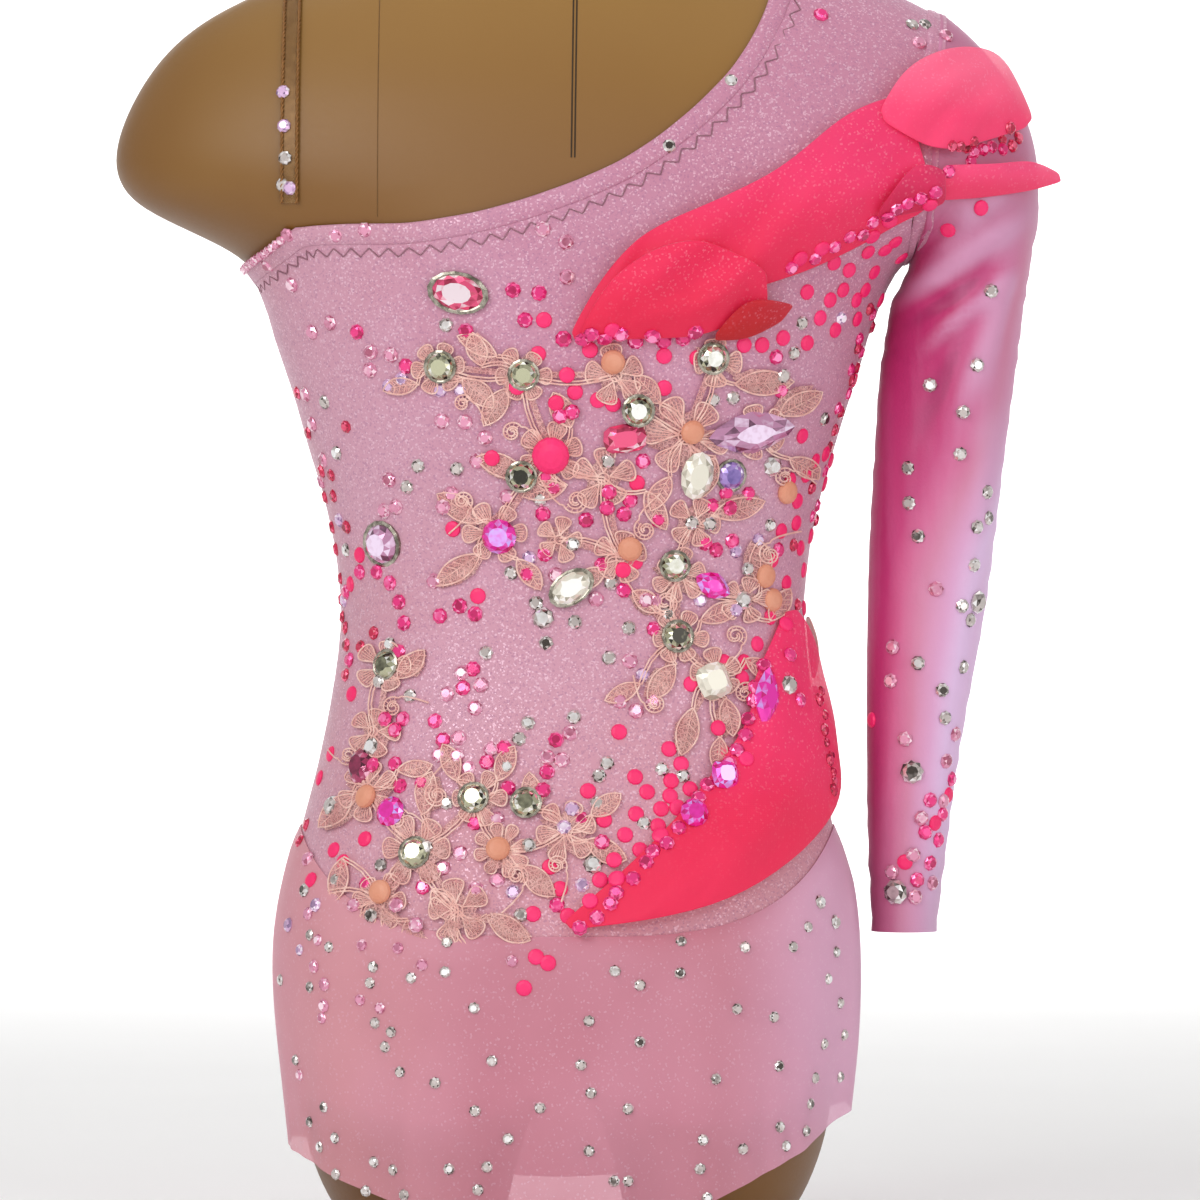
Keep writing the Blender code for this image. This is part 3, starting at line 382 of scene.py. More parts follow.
def chiffon(name, deep, light, spread, clear=0.10, glow=0.12):
    paint = Paint(name)
    height = paint.axis("Z")
    low, high = spread
    tone = height.ramped(low, high) + (paint.noise(22.0, 2.0) - 0.5) * 0.5
    cloth = paint.mix(tone.ramped(0.15, 0.95), deep, light)
    speck = paint.speck(1300.0, "Green")
    cloth = paint.mix(speck.ramped(0.85, 1.0) * 0.30 * height.ramped(low, high), cloth,
                      rgb(255, 190, 215))
    weave = paint.waves(420.0, "X") * paint.waves(420.0, "Z")
    # the weak emission in the cloth's colour is a painted glow
    body = paint.surface(Base_Color=cloth, Roughness=0.62, Emission_Color=cloth,
                         Emission_Strength=glow, Normal=paint.bump(weave, 0.15, 0.0003),
                         Sheen_Weight=0.4, Sheen_Roughness=0.4, Sheen_Tint=(1.0, 0.6, 0.75, 1.0))
    through = paint.node("ShaderNodeBsdfTranslucent", None, {"Color": light})
    soft = paint.blendShaders(0.22, body, through)
    share = clear + (0.20 * tone.ramped(0.6, 1.1))
    return paint.done(paint.blendShaders(share, soft, paint.seeThrough()))


def sheerMesh():
    paint = Paint("sheerMesh")
    height, side = paint.axis("Z"), paint.axis("X")
    cloth = paint.mix(side.ramped(-0.03, -0.11), rgb(218, 144, 162), rgb(232, 166, 176))
    cloth = paint.mix(side.ramped(0.05, 0.105), cloth, rgb(242, 190, 220))
    cloth = paint.mix(side.ramped(0.110, 0.120) * height.ramped(0.07, 0.12) * 0.6, cloth, rgb(190, 100, 168))
    cloth = paint.mix(paint.noise(12.0, 2.0).ramped(0.4, 0.65) * 0.3, cloth, rgb(236, 172, 194))
    speck = paint.speck(1400.0, "Blue")
    cloth = paint.mix(speck.ramped(0.9, 1.0) * 0.3, cloth, rgb(250, 214, 232))
    body = paint.surface(Base_Color=cloth, Roughness=0.55, Normal=paint.bump(speck, 0.15, 0.0003),
                         Sheen_Weight=0.3, Sheen_Roughness=0.4, Sheen_Tint=(1.0, 0.75, 0.88, 1.0))
    share = 0.34 + 0.12 * (paint.noise(30.0, 2.0) - 0.5) + 0.14 * height.ramped(0.075, 0.04)
    return paint.done(paint.blendShaders(share, body, paint.seeThrough((1.0, 0.90, 0.93, 1.0))))


def laceThread(name, colour, light):
    paint = Paint(name)
    tone = paint.noise(260.0, 2.0)
    cloth = paint.mix(tone.ramped(0.35, 0.7), colour, light)
    twist = paint.waves(700.0, "DIAGONAL", 2.0)
    return paint.done(paint.surface(
        Base_Color=cloth, Roughness=0.6, Normal=paint.bump(twist, 0.35, 0.0003),
        Sheen_Weight=0.3, Sheen_Roughness=0.5))


def laceNet():
    paint = Paint("laceNet")
    cloth = paint.mix(paint.noise(120.0, 3.0).ramped(0.35, 0.65), rgb(228, 164, 162), rgb(242, 192, 186))
    holes = paint.cells(620.0, output="Distance", feature="DISTANCE_TO_EDGE")
    thread = holes.ramped(0.16, 0.05)
    body = paint.surface(Base_Color=cloth, Roughness=0.7, Normal=paint.bump(thread, 0.5, 0.0004))
    share = 0.78 - 0.50 * thread
    return paint.done(paint.blendShaders(share, body, paint.seeThrough()))


def formCover():
    paint = Paint("formCover")
    height, side = paint.axis("Z"), paint.axis("X")
    # painted light and shade: lighter high up, darker lower down, towards the left and at the legs
    cloth = paint.mix(height.ramped(0.56, 0.42), rgb(146, 106, 42), rgb(124, 82, 28))
    cloth = paint.mix(side.ramped(-0.05, -0.19) * 0.5, cloth, rgb(116, 76, 26))
    cloth = paint.mix(height.ramped(0.30, 0.02), cloth, rgb(112, 72, 28))
    cloth = paint.mix(paint.noise(6.0, 3.0).ramped(0.4, 0.7) * 0.25, cloth, rgb(154, 116, 52))
    fine = paint.noise(700.0, 2.0)
    return paint.done(paint.surface(
        Base_Color=cloth, Roughness=0.42 + 0.1 * fine, Normal=paint.bump(fine, 0.08, 0.0003),
        Coat_Weight=0.04, Coat_Roughness=0.5))


def plainThread(name, colour, rough=0.6, metal=0.0):
    paint = Paint(name)
    tone = paint.noise(500.0, 2.0)
    cloth = paint.mix(tone.ramped(0.3, 0.7) * 0.5, colour, tuple(part * 0.6 for part in colour[:3]) + (1,))
    twist = paint.waves(900.0, "DIAGONAL", 1.0)
    return paint.done(paint.surface(
        Base_Color=cloth, Roughness=rough, Metallic=metal, Normal=paint.bump(twist, 0.4, 0.0002)))


def crystal(name, dark, body, bright, metal=0.55, rough=0.10, glow=0.0):
    paint = Paint(name)
    # each facet's random share picks a dark, body or bright colour: painted reflections and glints; the
    # emission is a painted glow
    tone = paint.attribute("tone")
    tone = tone + (paint.noise(420.0, 1.0) - 0.5) * 0.35
    colour = paint.ramp(tone, (0.05, dark), (0.35, body), (0.70, body), (0.95, bright))
    return paint.done(paint.surface(
        Base_Color=colour, Roughness=rough, Metallic=metal, Coat_Weight=0.6, Coat_Roughness=0.04,
        Emission_Color=colour, Emission_Strength=glow))


def mattePearl(name, colour, light):
    paint = Paint(name)
    tone = paint.noise(90.0, 2.0)
    cloth = paint.mix(tone.ramped(0.4, 0.7) * 0.4, colour, light)
    return paint.done(paint.surface(
        # the weak emission in the bead's colour is a painted glow
        Base_Color=cloth, Roughness=0.42 + 0.12 * tone, Emission_Color=cloth, Emission_Strength=0.12,
        Coat_Weight=0.1, Coat_Roughness=0.3))


def settingMetal():
    paint = Paint("settingMetal")
    tone = paint.noise(300.0, 2.0)
    colour = paint.mix(tone.ramped(0.3, 0.7), rgb(112, 106, 94), rgb(192, 186, 172))
    return paint.done(paint.surface(Base_Color=colour, Roughness=0.22 + 0.1 * tone, Metallic=0.9))


def strapMesh():
    paint = Paint("strapNet")
    tone = paint.mix(paint.noise(300.0, 1.0), rgb(120, 84, 44), rgb(176, 134, 84))
    body = paint.surface(Base_Color=tone, Roughness=0.4, Metallic=0.3)
    return paint.done(paint.blendShaders(0.55, body, paint.seeThrough()))


# Camera, floor and light, in metres

stage = {"floorWide": 11.0, "nearEdge": -5.0, "farEdge": 4.0, "bend": 1.0, "wallHigh": 4.0}


def buildStage():
    half = stage["floorWide"] / 2
    profile = [(stage["nearEdge"], 0.0), (stage["farEdge"], 0.0)]
    for step in range(1, 13):
        angle = math.radians(90 * step / 12)
        profile.append((stage["farEdge"] + stage["bend"] * math.sin(angle),
                        stage["bend"] * (1 - math.cos(angle))))
    profile.append((profile[-1][0], stage["wallHigh"]))
    shape = bmesh.new()
    rows = [[shape.verts.new((x, y, z - 0.0004)) for x in (-half, half)] for y, z in profile]
    for low, high in zip(rows, rows[1:]):
        shape.faces.new((low[0], low[1], high[1], high[0]))
    floor = newPiece("studioFloor", shape)
    smoothShade(floor)
    paint = Paint("studioPaper")
    tone = paint.noise(4.0, 2.0)
    paper = paint.mix(tone, (0.90, 0.90, 0.90, 1), (0.93, 0.93, 0.93, 1))
    floor.data.materials.append(paint.done(paint.surface(Base_Color=paper, Roughness=0.9)))


def buildCamera():
    data = bpy.data.cameras.new("photoCamera")
    data.sensor_fit = "HORIZONTAL"
    data.sensor_width = 36
    data.lens = 36 * photo["distance"] / photo["across"]
    data.clip_end = 50
    camera = bpy.data.objects.new("photoCamera", data)
    camera.location = fromPixel(photo["centre"], photo["centre"], -photo["distance"])
    camera.rotation_euler = (math.radians(90), 0, 0)
    bpy.context.scene.collection.objects.link(camera)
    bpy.context.scene.camera = camera
    return camera


def addLamp(name, spot, aim, size, power, colour=(1, 1, 1)):
    data = bpy.data.lights.new(name, "AREA")
    data.shape = "RECTANGLE"
    data.size, data.size_y = size
    data.energy = power
    data.color = colour
    lamp = bpy.data.objects.new(name, data)
    lamp.location = spot
    lamp.rotation_euler = (Vector(aim) - Vector(spot)).to_track_quat("-Z", "Y").to_euler()
    bpy.context.scene.collection.objects.link(lamp)


def buildLight():
    world = bpy.data.worlds.new("studioAir")
    world.use_nodes = True
    air = world.node_tree.nodes["Background"]
    air.inputs["Color"].default_value = (1.0, 0.99, 0.98, 1)
    air.inputs["Strength"].default_value = 0.55
    bpy.context.scene.world = world
    bpy.context.scene.view_settings.view_transform = "Standard"
    addLamp("keySoft", (-1.3, -2.0, 1.6), (0, 0, 0.35), (1.2, 1.2), 22)
    addLamp("fillSoft", (1.7, -1.8, 0.7), (0, 0, 0.3), (1.2, 1.4), 8, (1.0, 0.97, 0.98))
    addLamp("topSoft", (0.1, 0.2, 2.2), (0, 0, 0.4), (1.6, 1.6), 8)
    addLamp("sparkLeft", (-0.5, -2.6, 0.9), (0, 0, 0.3), (0.10, 0.10), 4)
    addLamp("sparkRight", (0.9, -2.4, 1.2), (0, 0, 0.3), (0.08, 0.08), 3)
    addLamp("wallWash", (0, 3.3, 2.6), (0, 5.0, 0.7), (3.0, 0.6), 110)


camera = buildCamera()
buildStage()
buildLight()
print("stage, camera and light ready")

# The form

formPaint = formCover()
form = cloneNode("dress_form", "formBody")
makeQuads(form)
applyStep(form, "SUBSURF", levels=2, render_levels=2)
smoothShade(form)
finishPiece(form, formPaint, "form_cover", "dress_form")
formTree = searchTree(form)
print("form", len(form.data.polygons))


def formHit(x, z):
    hit, normal, _, _ = formTree.ray_cast(place(x, -400, z), Vector((0, 1, 0)))
    return hit, normal


def overForm(point, lift):
    near, normal, _, _ = formTree.find_nearest(point)
    return near + normal * (lift * mm)


# Bodice panels

# facing: how squarely a face looks away from the form for it to be the cloth's outer side
bodice = {"lift": 1.6, "wall": 0.9, "facing": 0.6, "outside": 1.15}
# soft stretch creases: two pixels of the photo, height and half width in millimetres
backCreases = (
    ((262, 300), (330, 330), 0.9, 5), ((268, 330), (320, 380), 0.8, 5), ((300, 440), (350, 470), 0.7, 5),
    ((338, 560), (420, 590), 0.8, 6), ((340, 600), (440, 600), 0.6, 5), ((345, 640), (410, 622), 0.7, 5),
    ((800, 560), (730, 600), 0.7, 6), ((846, 380), (790, 420), 0.7, 6), ((600, 1010), (640, 1060), 0.8, 7),
    ((900, 235), (830, 300), 0.9, 7), ((905, 270), (850, 330), 0.8, 5), ((770, 40), (840, 70), 0.8, 7),
)
frontCreases = (
    ((300, 320), (380, 350), 0.9, 6), ((330, 560), (430, 590), 0.8, 6), ((345, 640), (420, 625), 0.7, 6),
    ((810, 560), (720, 590), 0.8, 6), ((850, 360), (760, 400), 0.8, 7), ((560, 900), (600, 960), 0.7, 8),
    ((640, 140), (760, 200), 0.8, 8),
)


def creaseHeight(co, creases):
    x, z = modelX(co), co.z / mm
    total = 0.0
    for start, end, high, wide in creases:
        ax, az = flatSpot(*start)
        bx, bz = flatSpot(*end)
        dx, dz = bx - ax, bz - az
        share = ((x - ax) * dx + (z - az) * dz) / (dx * dx + dz * dz)
        if -0.25 < share < 1.25:
            away = math.hypot(x - ax - dx * share, z - az - dz * share)
            fade = min(1.0, (share + 0.25) * 2, (1.25 - share) * 2)
            total += high * fade * math.exp(-((away / wide) ** 2))
    return total


def buildPanel(node, name, creases):
    panel = cloneNode(node, name)

    def isOuter(centre, normal):
        _, out, _, away = formTree.find_nearest(centre)
        return normal.dot(out) > bodice["facing"] and away > bodice["outside"] * mm
    keepFaces(panel, isOuter)
    applyStep(panel, "SUBSURF", subdivision_type="SIMPLE", levels=1, render_levels=1)
    moveVerts(panel, lambda co: overForm(co, bodice["lift"] + creaseHeight(co, creases)) - co)
    with editMode(panel):
        bpy.ops.mesh.normals_make_consistent(inside=False)
    return panel


def fromForm(centre):
    return formTree.find_nearest(centre)[1]


glitter = glitterStretch()
backPanel = buildPanel("back_panel", "backPanel", backCreases)
frontPanel = buildPanel("front_panel", "frontPanel", frontCreases)
for panel in (backPanel, frontPanel):
    facesOut(panel, fromForm)
panelTree = searchTree(backPanel, frontPanel)
print("panels", len(backPanel.data.polygons), len(frontPanel.data.polygons))


def rimChain(panel, wanted):
    shape = bmesh.new()
    shape.from_mesh(panel.data)
    links = {}
    for edge in shape.edges:
        if edge.is_boundary and wanted(edge.verts[0].co) and wanted(edge.verts[1].co):
            a, b = (tuple(round(part, 6) for part in vert.co) for vert in edge.verts)
            links.setdefault(a, []).append(b)
            links.setdefault(b, []).append(a)
    shape.free()
    chains = []
    while links:
        ends = [spot for spot, others in links.items() if len(others) == 1] or list(links)
        here = min(ends)
        chain = [here]
        while links.get(here):
            after = links[here].pop()
            links[after].remove(here)
            if not links[here]:
                del links[here]
            here = after
            chain.append(here)
        links.pop(here, None)
        chains.append([Vector(spot) for spot in chain])
    return max(chains, key=len)


def evenly(points, step):
    lengths = [0.0]
    for low, high in zip(points, points[1:]):
        lengths.append(lengths[-1] + (high - low).length)
    count = max(2, round(lengths[-1] / step))
    spots, index = [], 0
    for number in range(count + 1):
        wanted = lengths[-1] * number / count
        while index < len(points) - 2 and lengths[index + 1] < wanted:
            index += 1
        span = lengths[index + 1] - lengths[index] or 1.0
        spots.append(points[index].lerp(points[index + 1], min(1.0, (wanted - lengths[index]) / span)))
    return spots


def softened(points, rounds):
    for _ in range(rounds):
        inner = [(before + here * 2 + after) / 4
                 for before, here, after in zip(points, points[1:], points[2:])]
        points = [points[0], *inner, points[-1]]
    return points


def isNeckEdge(co):
    return abs(modelY(co)) > 0.5 and co.z > 395 * mm and modelX(co) < 100


def isLegEdge(co):
    return abs(modelY(co)) > 0.5 and co.z < 108 * mm


# the folded elastic edge: a rounded band along a cut edge of the panel
elastic = {"wide": 8.0, "high": 0.9, "step": 2.2, "rounds": 10}
legElastic = {"wide": 6.0, "high": 0.7, "step": 3.0, "rounds": 6}


def besideEdge(points, index, offset, lift):
    here = points[index]
    ahead = points[min(index + 1, len(points) - 1)] - points[max(index - 1, 0)]
    out = formTree.find_nearest(here)[1]
    inward = out.cross(ahead).normalized()
    return overForm(here + inward * (offset * mm), lift)


def bandAlong(name, points, wide, high, towards):
    shape = bmesh.new()
    profile = ((-0.5, -0.6), (-0.3, 0.5), (0.4, 1.0), (0.5 * wide, 1.05),
               (wide - 0.6, 0.9), (wide, 0.35), (wide + 0.2, -0.3))
    rows = []
    for index in range(len(points)):
        spots = [besideEdge(points, index, offset * towards, bodice["lift"] + high * rise)
                 for offset, rise in profile]
        rows.append([shape.verts.new(spot) for spot in spots])
    for low, high in zip(rows, rows[1:]):
        for side in range(len(profile) - 1):
            shape.faces.new((low[side], low[side + 1], high[side + 1], high[side]))
    band = newPiece(name, shape)
    facesOut(band, fromForm)
    smoothShade(band)
    return band


def threadPiece(name, paths, radius):
    data = bpy.data.curves.new(name, "CURVE")
    data.dimensions = "3D"
    data.bevel_depth = radius * mm
    data.bevel_resolution = 0
    data.use_fill_caps = True
    for path in paths:
        line = data.splines.new("POLY")
        line.points.add(len(path) - 1)
        for point, spot in zip(line.points, path):
            point.co = (*spot, 1.0)
    thread = bpy.data.objects.new(name, data)
    bpy.context.scene.collection.objects.link(thread)
    only(thread)
    bpy.ops.object.convert(target="MESH")
    thread = bpy.context.view_layer.objects.active
    smoothShade(thread)
    return thread


zigzag = {"from": 11.5, "high": 3.8, "period": 8.2, "radius": 0.28, "step": 0.7, "lift": 0.25, "ends": 6}


def zigzagPath(points, towards):
    total = sum((high - low).length for low, high in zip(points, points[1:]))
    fine = evenly(points, zigzag["step"] * mm)
    path = []
    for index in range(zigzag["ends"], len(fine) - zigzag["ends"]):
        along = total * index / len(fine) / mm
        phase = (along / zigzag["period"]) % 1
        share = 2 * phase if phase < 0.5 else 2 - 2 * phase
        offset = zigzag["from"] + zigzag["high"] * (share - 0.5)
        path.append(besideEdge(fine, index, offset * towards, bodice["lift"] + zigzag["lift"]))
    return path


def inwardSign(points):
    middle = len(points) // 2
    trial = besideEdge(points, middle, 6.0, bodice["lift"])
    return 1 if panelTree.find_nearest(trial)[3] < 0.5 * mm else -1


bands, stitches = [], []
for panel, side in ((backPanel, "Back"), (frontPanel, "Front")):
    neck = softened(evenly(rimChain(panel, isNeckEdge), elastic["step"] * mm), elastic["rounds"])
    towards = inwardSign(neck)
    bands.append(bandAlong(f"neckBand{side}", neck, elastic["wide"], elastic["high"], towards))
    stitches.append(zigzagPath(neck, towards))
    if side == "Back":
        neckEdge = neck
    leg = softened(evenly(rimChain(panel, isLegEdge), legElastic["step"] * mm), legElastic["rounds"])
    bands.append(bandAlong(f"legBand{side}", leg, legElastic["wide"], legElastic["high"], inwardSign(leg)))
edging = plainThread("stitchThread", rgb(156, 108, 122), 0.5)
for band in bands:
    finishPiece(band, glitter, "stretch_fabric")
finishPiece(threadPiece("zigzagStitch", stitches, zigzag["radius"]), edging, "stretch_fabric")
for panel, node in ((backPanel, "back_panel"), (frontPanel, "front_panel")):
    applyStep(panel, "SOLIDIFY", thickness=bodice["wall"] * mm, offset=-1.0, use_quality_normals=True)
    smoothShade(panel, 40)
    finishPiece(panel, glitter, "stretch_fabric", node)
print("bodice with elastic edges and stitches")

# Sleeve

sleeveCloth = {"wall": 0.8, "facing": 0.08, "ringStep": 2.2, "toneRange": 3.5}
# the sleeve's middle line, x and height, from the shoulder to the cuff
sleeveAxis = [(148, 464), (161, 450), (167, 428), (163, 400), (156.5, 356), (149, 267), (139.5, 132)]
sleeveAxis = [place(x, 1, z) for x, z in sleeveAxis]


def fromAxis(co):
    best = None
    for low, high in zip(sleeveAxis, sleeveAxis[1:]):
        run = high - low
        share = min(1.0, max(0.0, (co - low).dot(run) / run.length_squared))
        away = co - low.lerp(high, share)
        if best is None or away.length < best.length:
            best = away
    return best.normalized()


# folds of the sleeve, on the side that the photo shows and on the hidden one
sleeveFolds = (
    ((1018, 222), (905, 300), 4.2, 6), ((1012, 268), (925, 350), 2.8, 5), ((1005, 262), (958, 410), 3.6, 7),
    ((1000, 330), (975, 560), 2.2, 7), ((1010, 195), (945, 225), 2.2, 5), ((985, 215), (925, 262), 1.6, 4),
    ((885, 330), (893, 600), 1.1, 4),
    ((960, 600), (940, 760), 0.9, 6), ((872, 800), (930, 790), 0.8, 5), ((868, 860), (932, 850), 0.8, 4),
    ((990, 420), (930, 470), 0.9, 6), ((880, 640), (930, 660), 0.8, 6),
    ((1022, 262), (918, 318), -2.0, 4), ((985, 300), (925, 420), -1.6, 5), ((1012, 300), (990, 420), -1.2, 4),
)
hiddenFolds = (
    ((1015, 235), (905, 320), 2.4, 6), ((1005, 280), (940, 430), 2.0, 6), ((990, 330), (890, 400), 1.4, 5),
    ((985, 480), (900, 520), 1.0, 7), ((960, 640), (885, 660), 0.9, 6), ((872, 820), (935, 830), 0.8, 5),
)


def sleeveLift(co):
    return creaseHeight(co, sleeveFolds if modelY(co) < 1 else hiddenFolds)


def moveSleeve(co):
    edge = min(1.0, max(0.0, (470 - co.z / mm) / 40))
    ripple = 0.35 * math.sin(co.z / mm * 0.55 + modelX(co) * 0.21) * math.sin(co.z / mm * 0.13)
    return fromAxis(co) * ((sleeveLift(co) + ripple) * edge * mm)


sleeve = cloneNode("sleeve", "sleeve_velvet")
keepFaces(sleeve, lambda centre, normal: normal.dot(fromAxis(centre)) > sleeveCloth["facing"])
makeQuads(sleeve)
pinRims(sleeve)
applyStep(sleeve, "SUBSURF", levels=2, render_levels=2)
facesOut(sleeve, fromAxis)
# fold heights, as shares of toneRange, kept for the sleeve's painted sheen on ridges and painted shade in
# troughs
tones = [sleeveLift(vert.co) / sleeveCloth["toneRange"] for vert in sleeve.data.vertices]
sleeve.data.attributes.new("lifted", "FLOAT", "POINT").data.foreach_set("value", tones)
moveVerts(sleeve, moveSleeve)
sleeveSkin = searchTree(sleeve)
sleeveRing = evenly(rimChain(sleeve, lambda co: co.z > 380 * mm), sleeveCloth["ringStep"] * mm)
applyStep(sleeve, "SOLIDIFY", thickness=sleeveCloth["wall"] * mm, offset=-1.0)
smoothShade(sleeve, 50)
velvet = sleeveVelvet()
finishPiece(sleeve, velvet, "sleeve_velvet", "sleeve")
print("sleeve", len(sleeve.data.polygons))

# the seam that joins the sleeve to the bodice, a narrow strip over the gap between them
# onSleeve: reach over the sleeve and the two lifts there; onForm: distance and lift over the bodice
armhole = {"low": (137, 396), "high": (153, 520), "wall": 0.5, "onSleeve": (3, 0.4, 0.6), "under": 0.2,
           "onForm": ((2.5, 3.0), (5, 2.4), (5.6, 1.5))}


def armholeStrip():
    low = place(armhole["low"][0], 0, armhole["low"][1])
    high = place(armhole["high"][0], 0, armhole["high"][1])
    aside = (high - low).cross(Vector((0, 1, 0))).normalized()
    if aside.x < 0:
        aside = -aside
    middle = low.lerp(high, 0.5)
    reach, edgeLift, rimLift = armhole["onSleeve"]
    shape = bmesh.new()
    rows = []
    for spot in softened(sleeveRing, 2)[:-1]:
        outer, outNormal, _, _ = sleeveSkin.find_nearest(spot + aside * reach * mm)
        _, rimNormal, _, _ = sleeveSkin.find_nearest(spot)
        points = [outer - outNormal * armhole["under"] * mm, outer + outNormal * edgeLift * mm,
                  spot + rimNormal * rimLift * mm]
        points += [overForm(spot - aside * away * mm, lift) for away, lift in armhole["onForm"]]
        rows.append([shape.verts.new(point) for point in points])
    for one, other in zip(rows, rows[1:] + rows[:1]):
        for side in range(len(one) - 1):
            shape.faces.new((one[side], one[side + 1], other[side + 1], other[side]))
    strip = newPiece("armholeStrip", shape)
    facesOut(strip, lambda centre: (centre - middle).normalized())
    applyStep(strip, "SOLIDIFY", thickness=armhole["wall"] * mm, offset=-1.0)
    smoothShade(strip, 50)
    return strip


finishPiece(armholeStrip(), glitter, "sleeve_velvet")

# Skirts

# lift and hug: how far off the form the top edge lies, and how far down that reaches
skirtCloth = {"wall": 0.35, "facing": 0.3, "lift": 2.2, "hug": 13}


def outFromMiddle(centre):
    middle = place(0, 0, 0)
    return Vector((centre.x - middle.x, centre.y - middle.y, 0)).normalized()


def moveSkirt(co):
    drop = min(1.0, max(0.0, (165 - co.z / mm) / 120))
    turn = math.atan2(modelY(co), modelX(co))
    flute = 0.5 + 0.5 * math.sin(turn * 17 + math.sin(turn * 5) * 1.4)
    hem = 0.5 + 0.5 * math.sin(turn * 41 + 2 * math.sin(turn * 9))
    fold = math.exp(-((modelX(co) - 117) / 4.0) ** 2) * min(1.0, max(0.0, (178 - co.z / mm) / 25))
    high = 1.0 * flute * drop ** 1.5 + 0.7 * hem * drop ** 4 + 1.4 * fold
    return outFromMiddle(co) * (high * mm)


def topEdge(skirt):
    shape = bmesh.new()
    shape.from_mesh(skirt.data)
    level = [edge for edge in shape.edges if edge.is_boundary and edge.verts[0].co.z > 118 * mm
             and abs((edge.verts[0].co - edge.verts[1].co).normalized().z) < 0.85]
    spots = [vert.co.copy() for edge in level for vert in edge.verts]
    shape.free()
    return spots


def buildSkirt(node, name):
    skirt = cloneNode(node, name)
    keepFaces(skirt, lambda centre, normal: normal.dot(outFromMiddle(centre)) > skirtCloth["facing"])
    makeQuads(skirt)
    pinRims(skirt)
    applyStep(skirt, "SUBSURF", levels=2, render_levels=2)
    facesOut(skirt, outFromMiddle)
    edge = topEdge(skirt)

    def move(co):
        near = min((spot - co).length for spot in edge) / mm
        share = max(0.0, 1 - near / skirtCloth["hug"]) ** 2
        return moveSkirt(co) * (1 - share) + (overForm(co, skirtCloth["lift"]) - co) * share
    moveVerts(skirt, move)
    return skirt


sheer = sheerMesh()
skirtBack = buildSkirt("skirt_back", "skirtBack")
skirtFront = buildSkirt("skirt_front", "skirtFront")
skirtTree = searchTree(skirtBack)
for skirt, node in ((skirtBack, "skirt_back"), (skirtFront, "skirt_front")):
    applyStep(skirt, "SOLIDIFY", thickness=skirtCloth["wall"] * mm, offset=-1.0)
    smoothShade(skirt, 50)
    finishPiece(skirt, sheer, "sheer_skirt", node)
print("skirts", len(skirtBack.data.polygons))

# Petals

# colour low down, colour high up, the heights between them in metres, material slot
petalTones = {
    "petal_long": (rgb(238, 44, 92), rgb(244, 60, 120), (0.385, 0.475), "chiffon_pink"),
    "petal_round": (rgb(234, 40, 84), rgb(240, 46, 98), (0.375, 0.42), "chiffon_pink"),
    "petal_red": (rgb(196, 26, 32), rgb(204, 32, 48), (0.375, 0.395), "chiffon_red"),
    "petal_top": (rgb(246, 70, 122), rgb(252, 112, 152), (0.455, 0.505), "chiffon_coral"),
    "petal_dark": (rgb(208, 32, 84), rgb(226, 50, 106), (0.427, 0.45), "chiffon_pink"),
    "petal_tip": (rgb(238, 62, 110), rgb(250, 84, 138), (0.434, 0.455), "chiffon_coral"),
    "petal_hip": (rgb(238, 42, 90), rgb(248, 56, 118), (0.14, 0.26), "chiffon_pink"),
    "side_petal_upper": (rgb(206, 140, 128), rgb(216, 156, 146), (0.23, 0.26), "chiffon_peach"),
    "side_petal_lower": (rgb(200, 136, 124), rgb(212, 154, 144), (0.18, 0.23), "chiffon_peach"),
}


# folds of the petals, in the same columns as the creases
petalFolds = (
    ((650, 300), (760, 190), 3.4, 6), ((720, 300), (870, 140), 4.2, 6), ((800, 250), (930, 110), 3.6, 6),
    ((610, 300), (640, 225), 2.4, 5), ((690, 215), (820, 130), 2.4, 5), ((840, 215), (945, 150), 2.6, 5),
    ((600, 325), (700, 235), 2.8, 6), ((690, 325), (765, 262), 3.0, 5), ((640, 328), (735, 300), 2.2, 4),
    ((645, 290), (700, 250), 1.8, 4), ((900, 125), (985, 70), 3.0, 5), ((940, 140), (1005, 105), 2.4, 4),
    ((900, 90), (950, 55), 2.0, 4), ((620, 930), (770, 800), 4.2, 8), ((700, 905), (800, 770), 3.2, 6),
    ((760, 740), (795, 650), 3.0, 6), ((660, 930), (810, 865), 2.8, 6), ((720, 840), (790, 710), 2.4, 6),
    ((970, 170), (1045, 178), 1.6, 4), ((745, 315), (790, 300), 1.6, 4), ((880, 200), (940, 165), 1.8, 4),
)


def movePetal(co):
    x, z = modelX(co), co.z / mm
    wave = 0.5 + 0.5 * math.sin(x * 0.23 + z * 0.11 + 1.3 * math.sin(z * 0.07))
    fine = 0.5 + 0.5 * math.sin(x * 0.61 - z * 0.35)
    return Vector((0, -(0.8 * wave + 0.4 * fine + creaseHeight(co, petalFolds)) * mm, 0))


petals = []
for node, (deep, light, spread, slot) in petalTones.items():
    petal = cloneNode(node, node + "_chiffon")
    makeQuads(petal)
    applyStep(petal, "SUBSURF", levels=2, render_levels=2)
    if slot != "chiffon_peach":
        moveVerts(petal, movePetal)
    smoothShade(petal)
    finishPiece(petal, chiffon(node + "_cloth", deep, light, spread), slot, node)
    petals.append(petal)
petalTree = searchTree(*petals)
print("petals")

# Seating small things on the dressed surface

dressed = [formTree, panelTree, sleeveSkin, skirtTree, petalTree]


def onDress(px, py, trees=None):
    start = camera.location
    way = (fromPixel(px, py) - start).normalized()
    best = None
    for tree in trees or dressed:
        hit, normal, _, far = tree.ray_cast(start, way)
        if hit and (best is None or far < best[2]):
            best = (hit, normal if normal.dot(way) < 0 else -normal, far)
    return best


# Lace

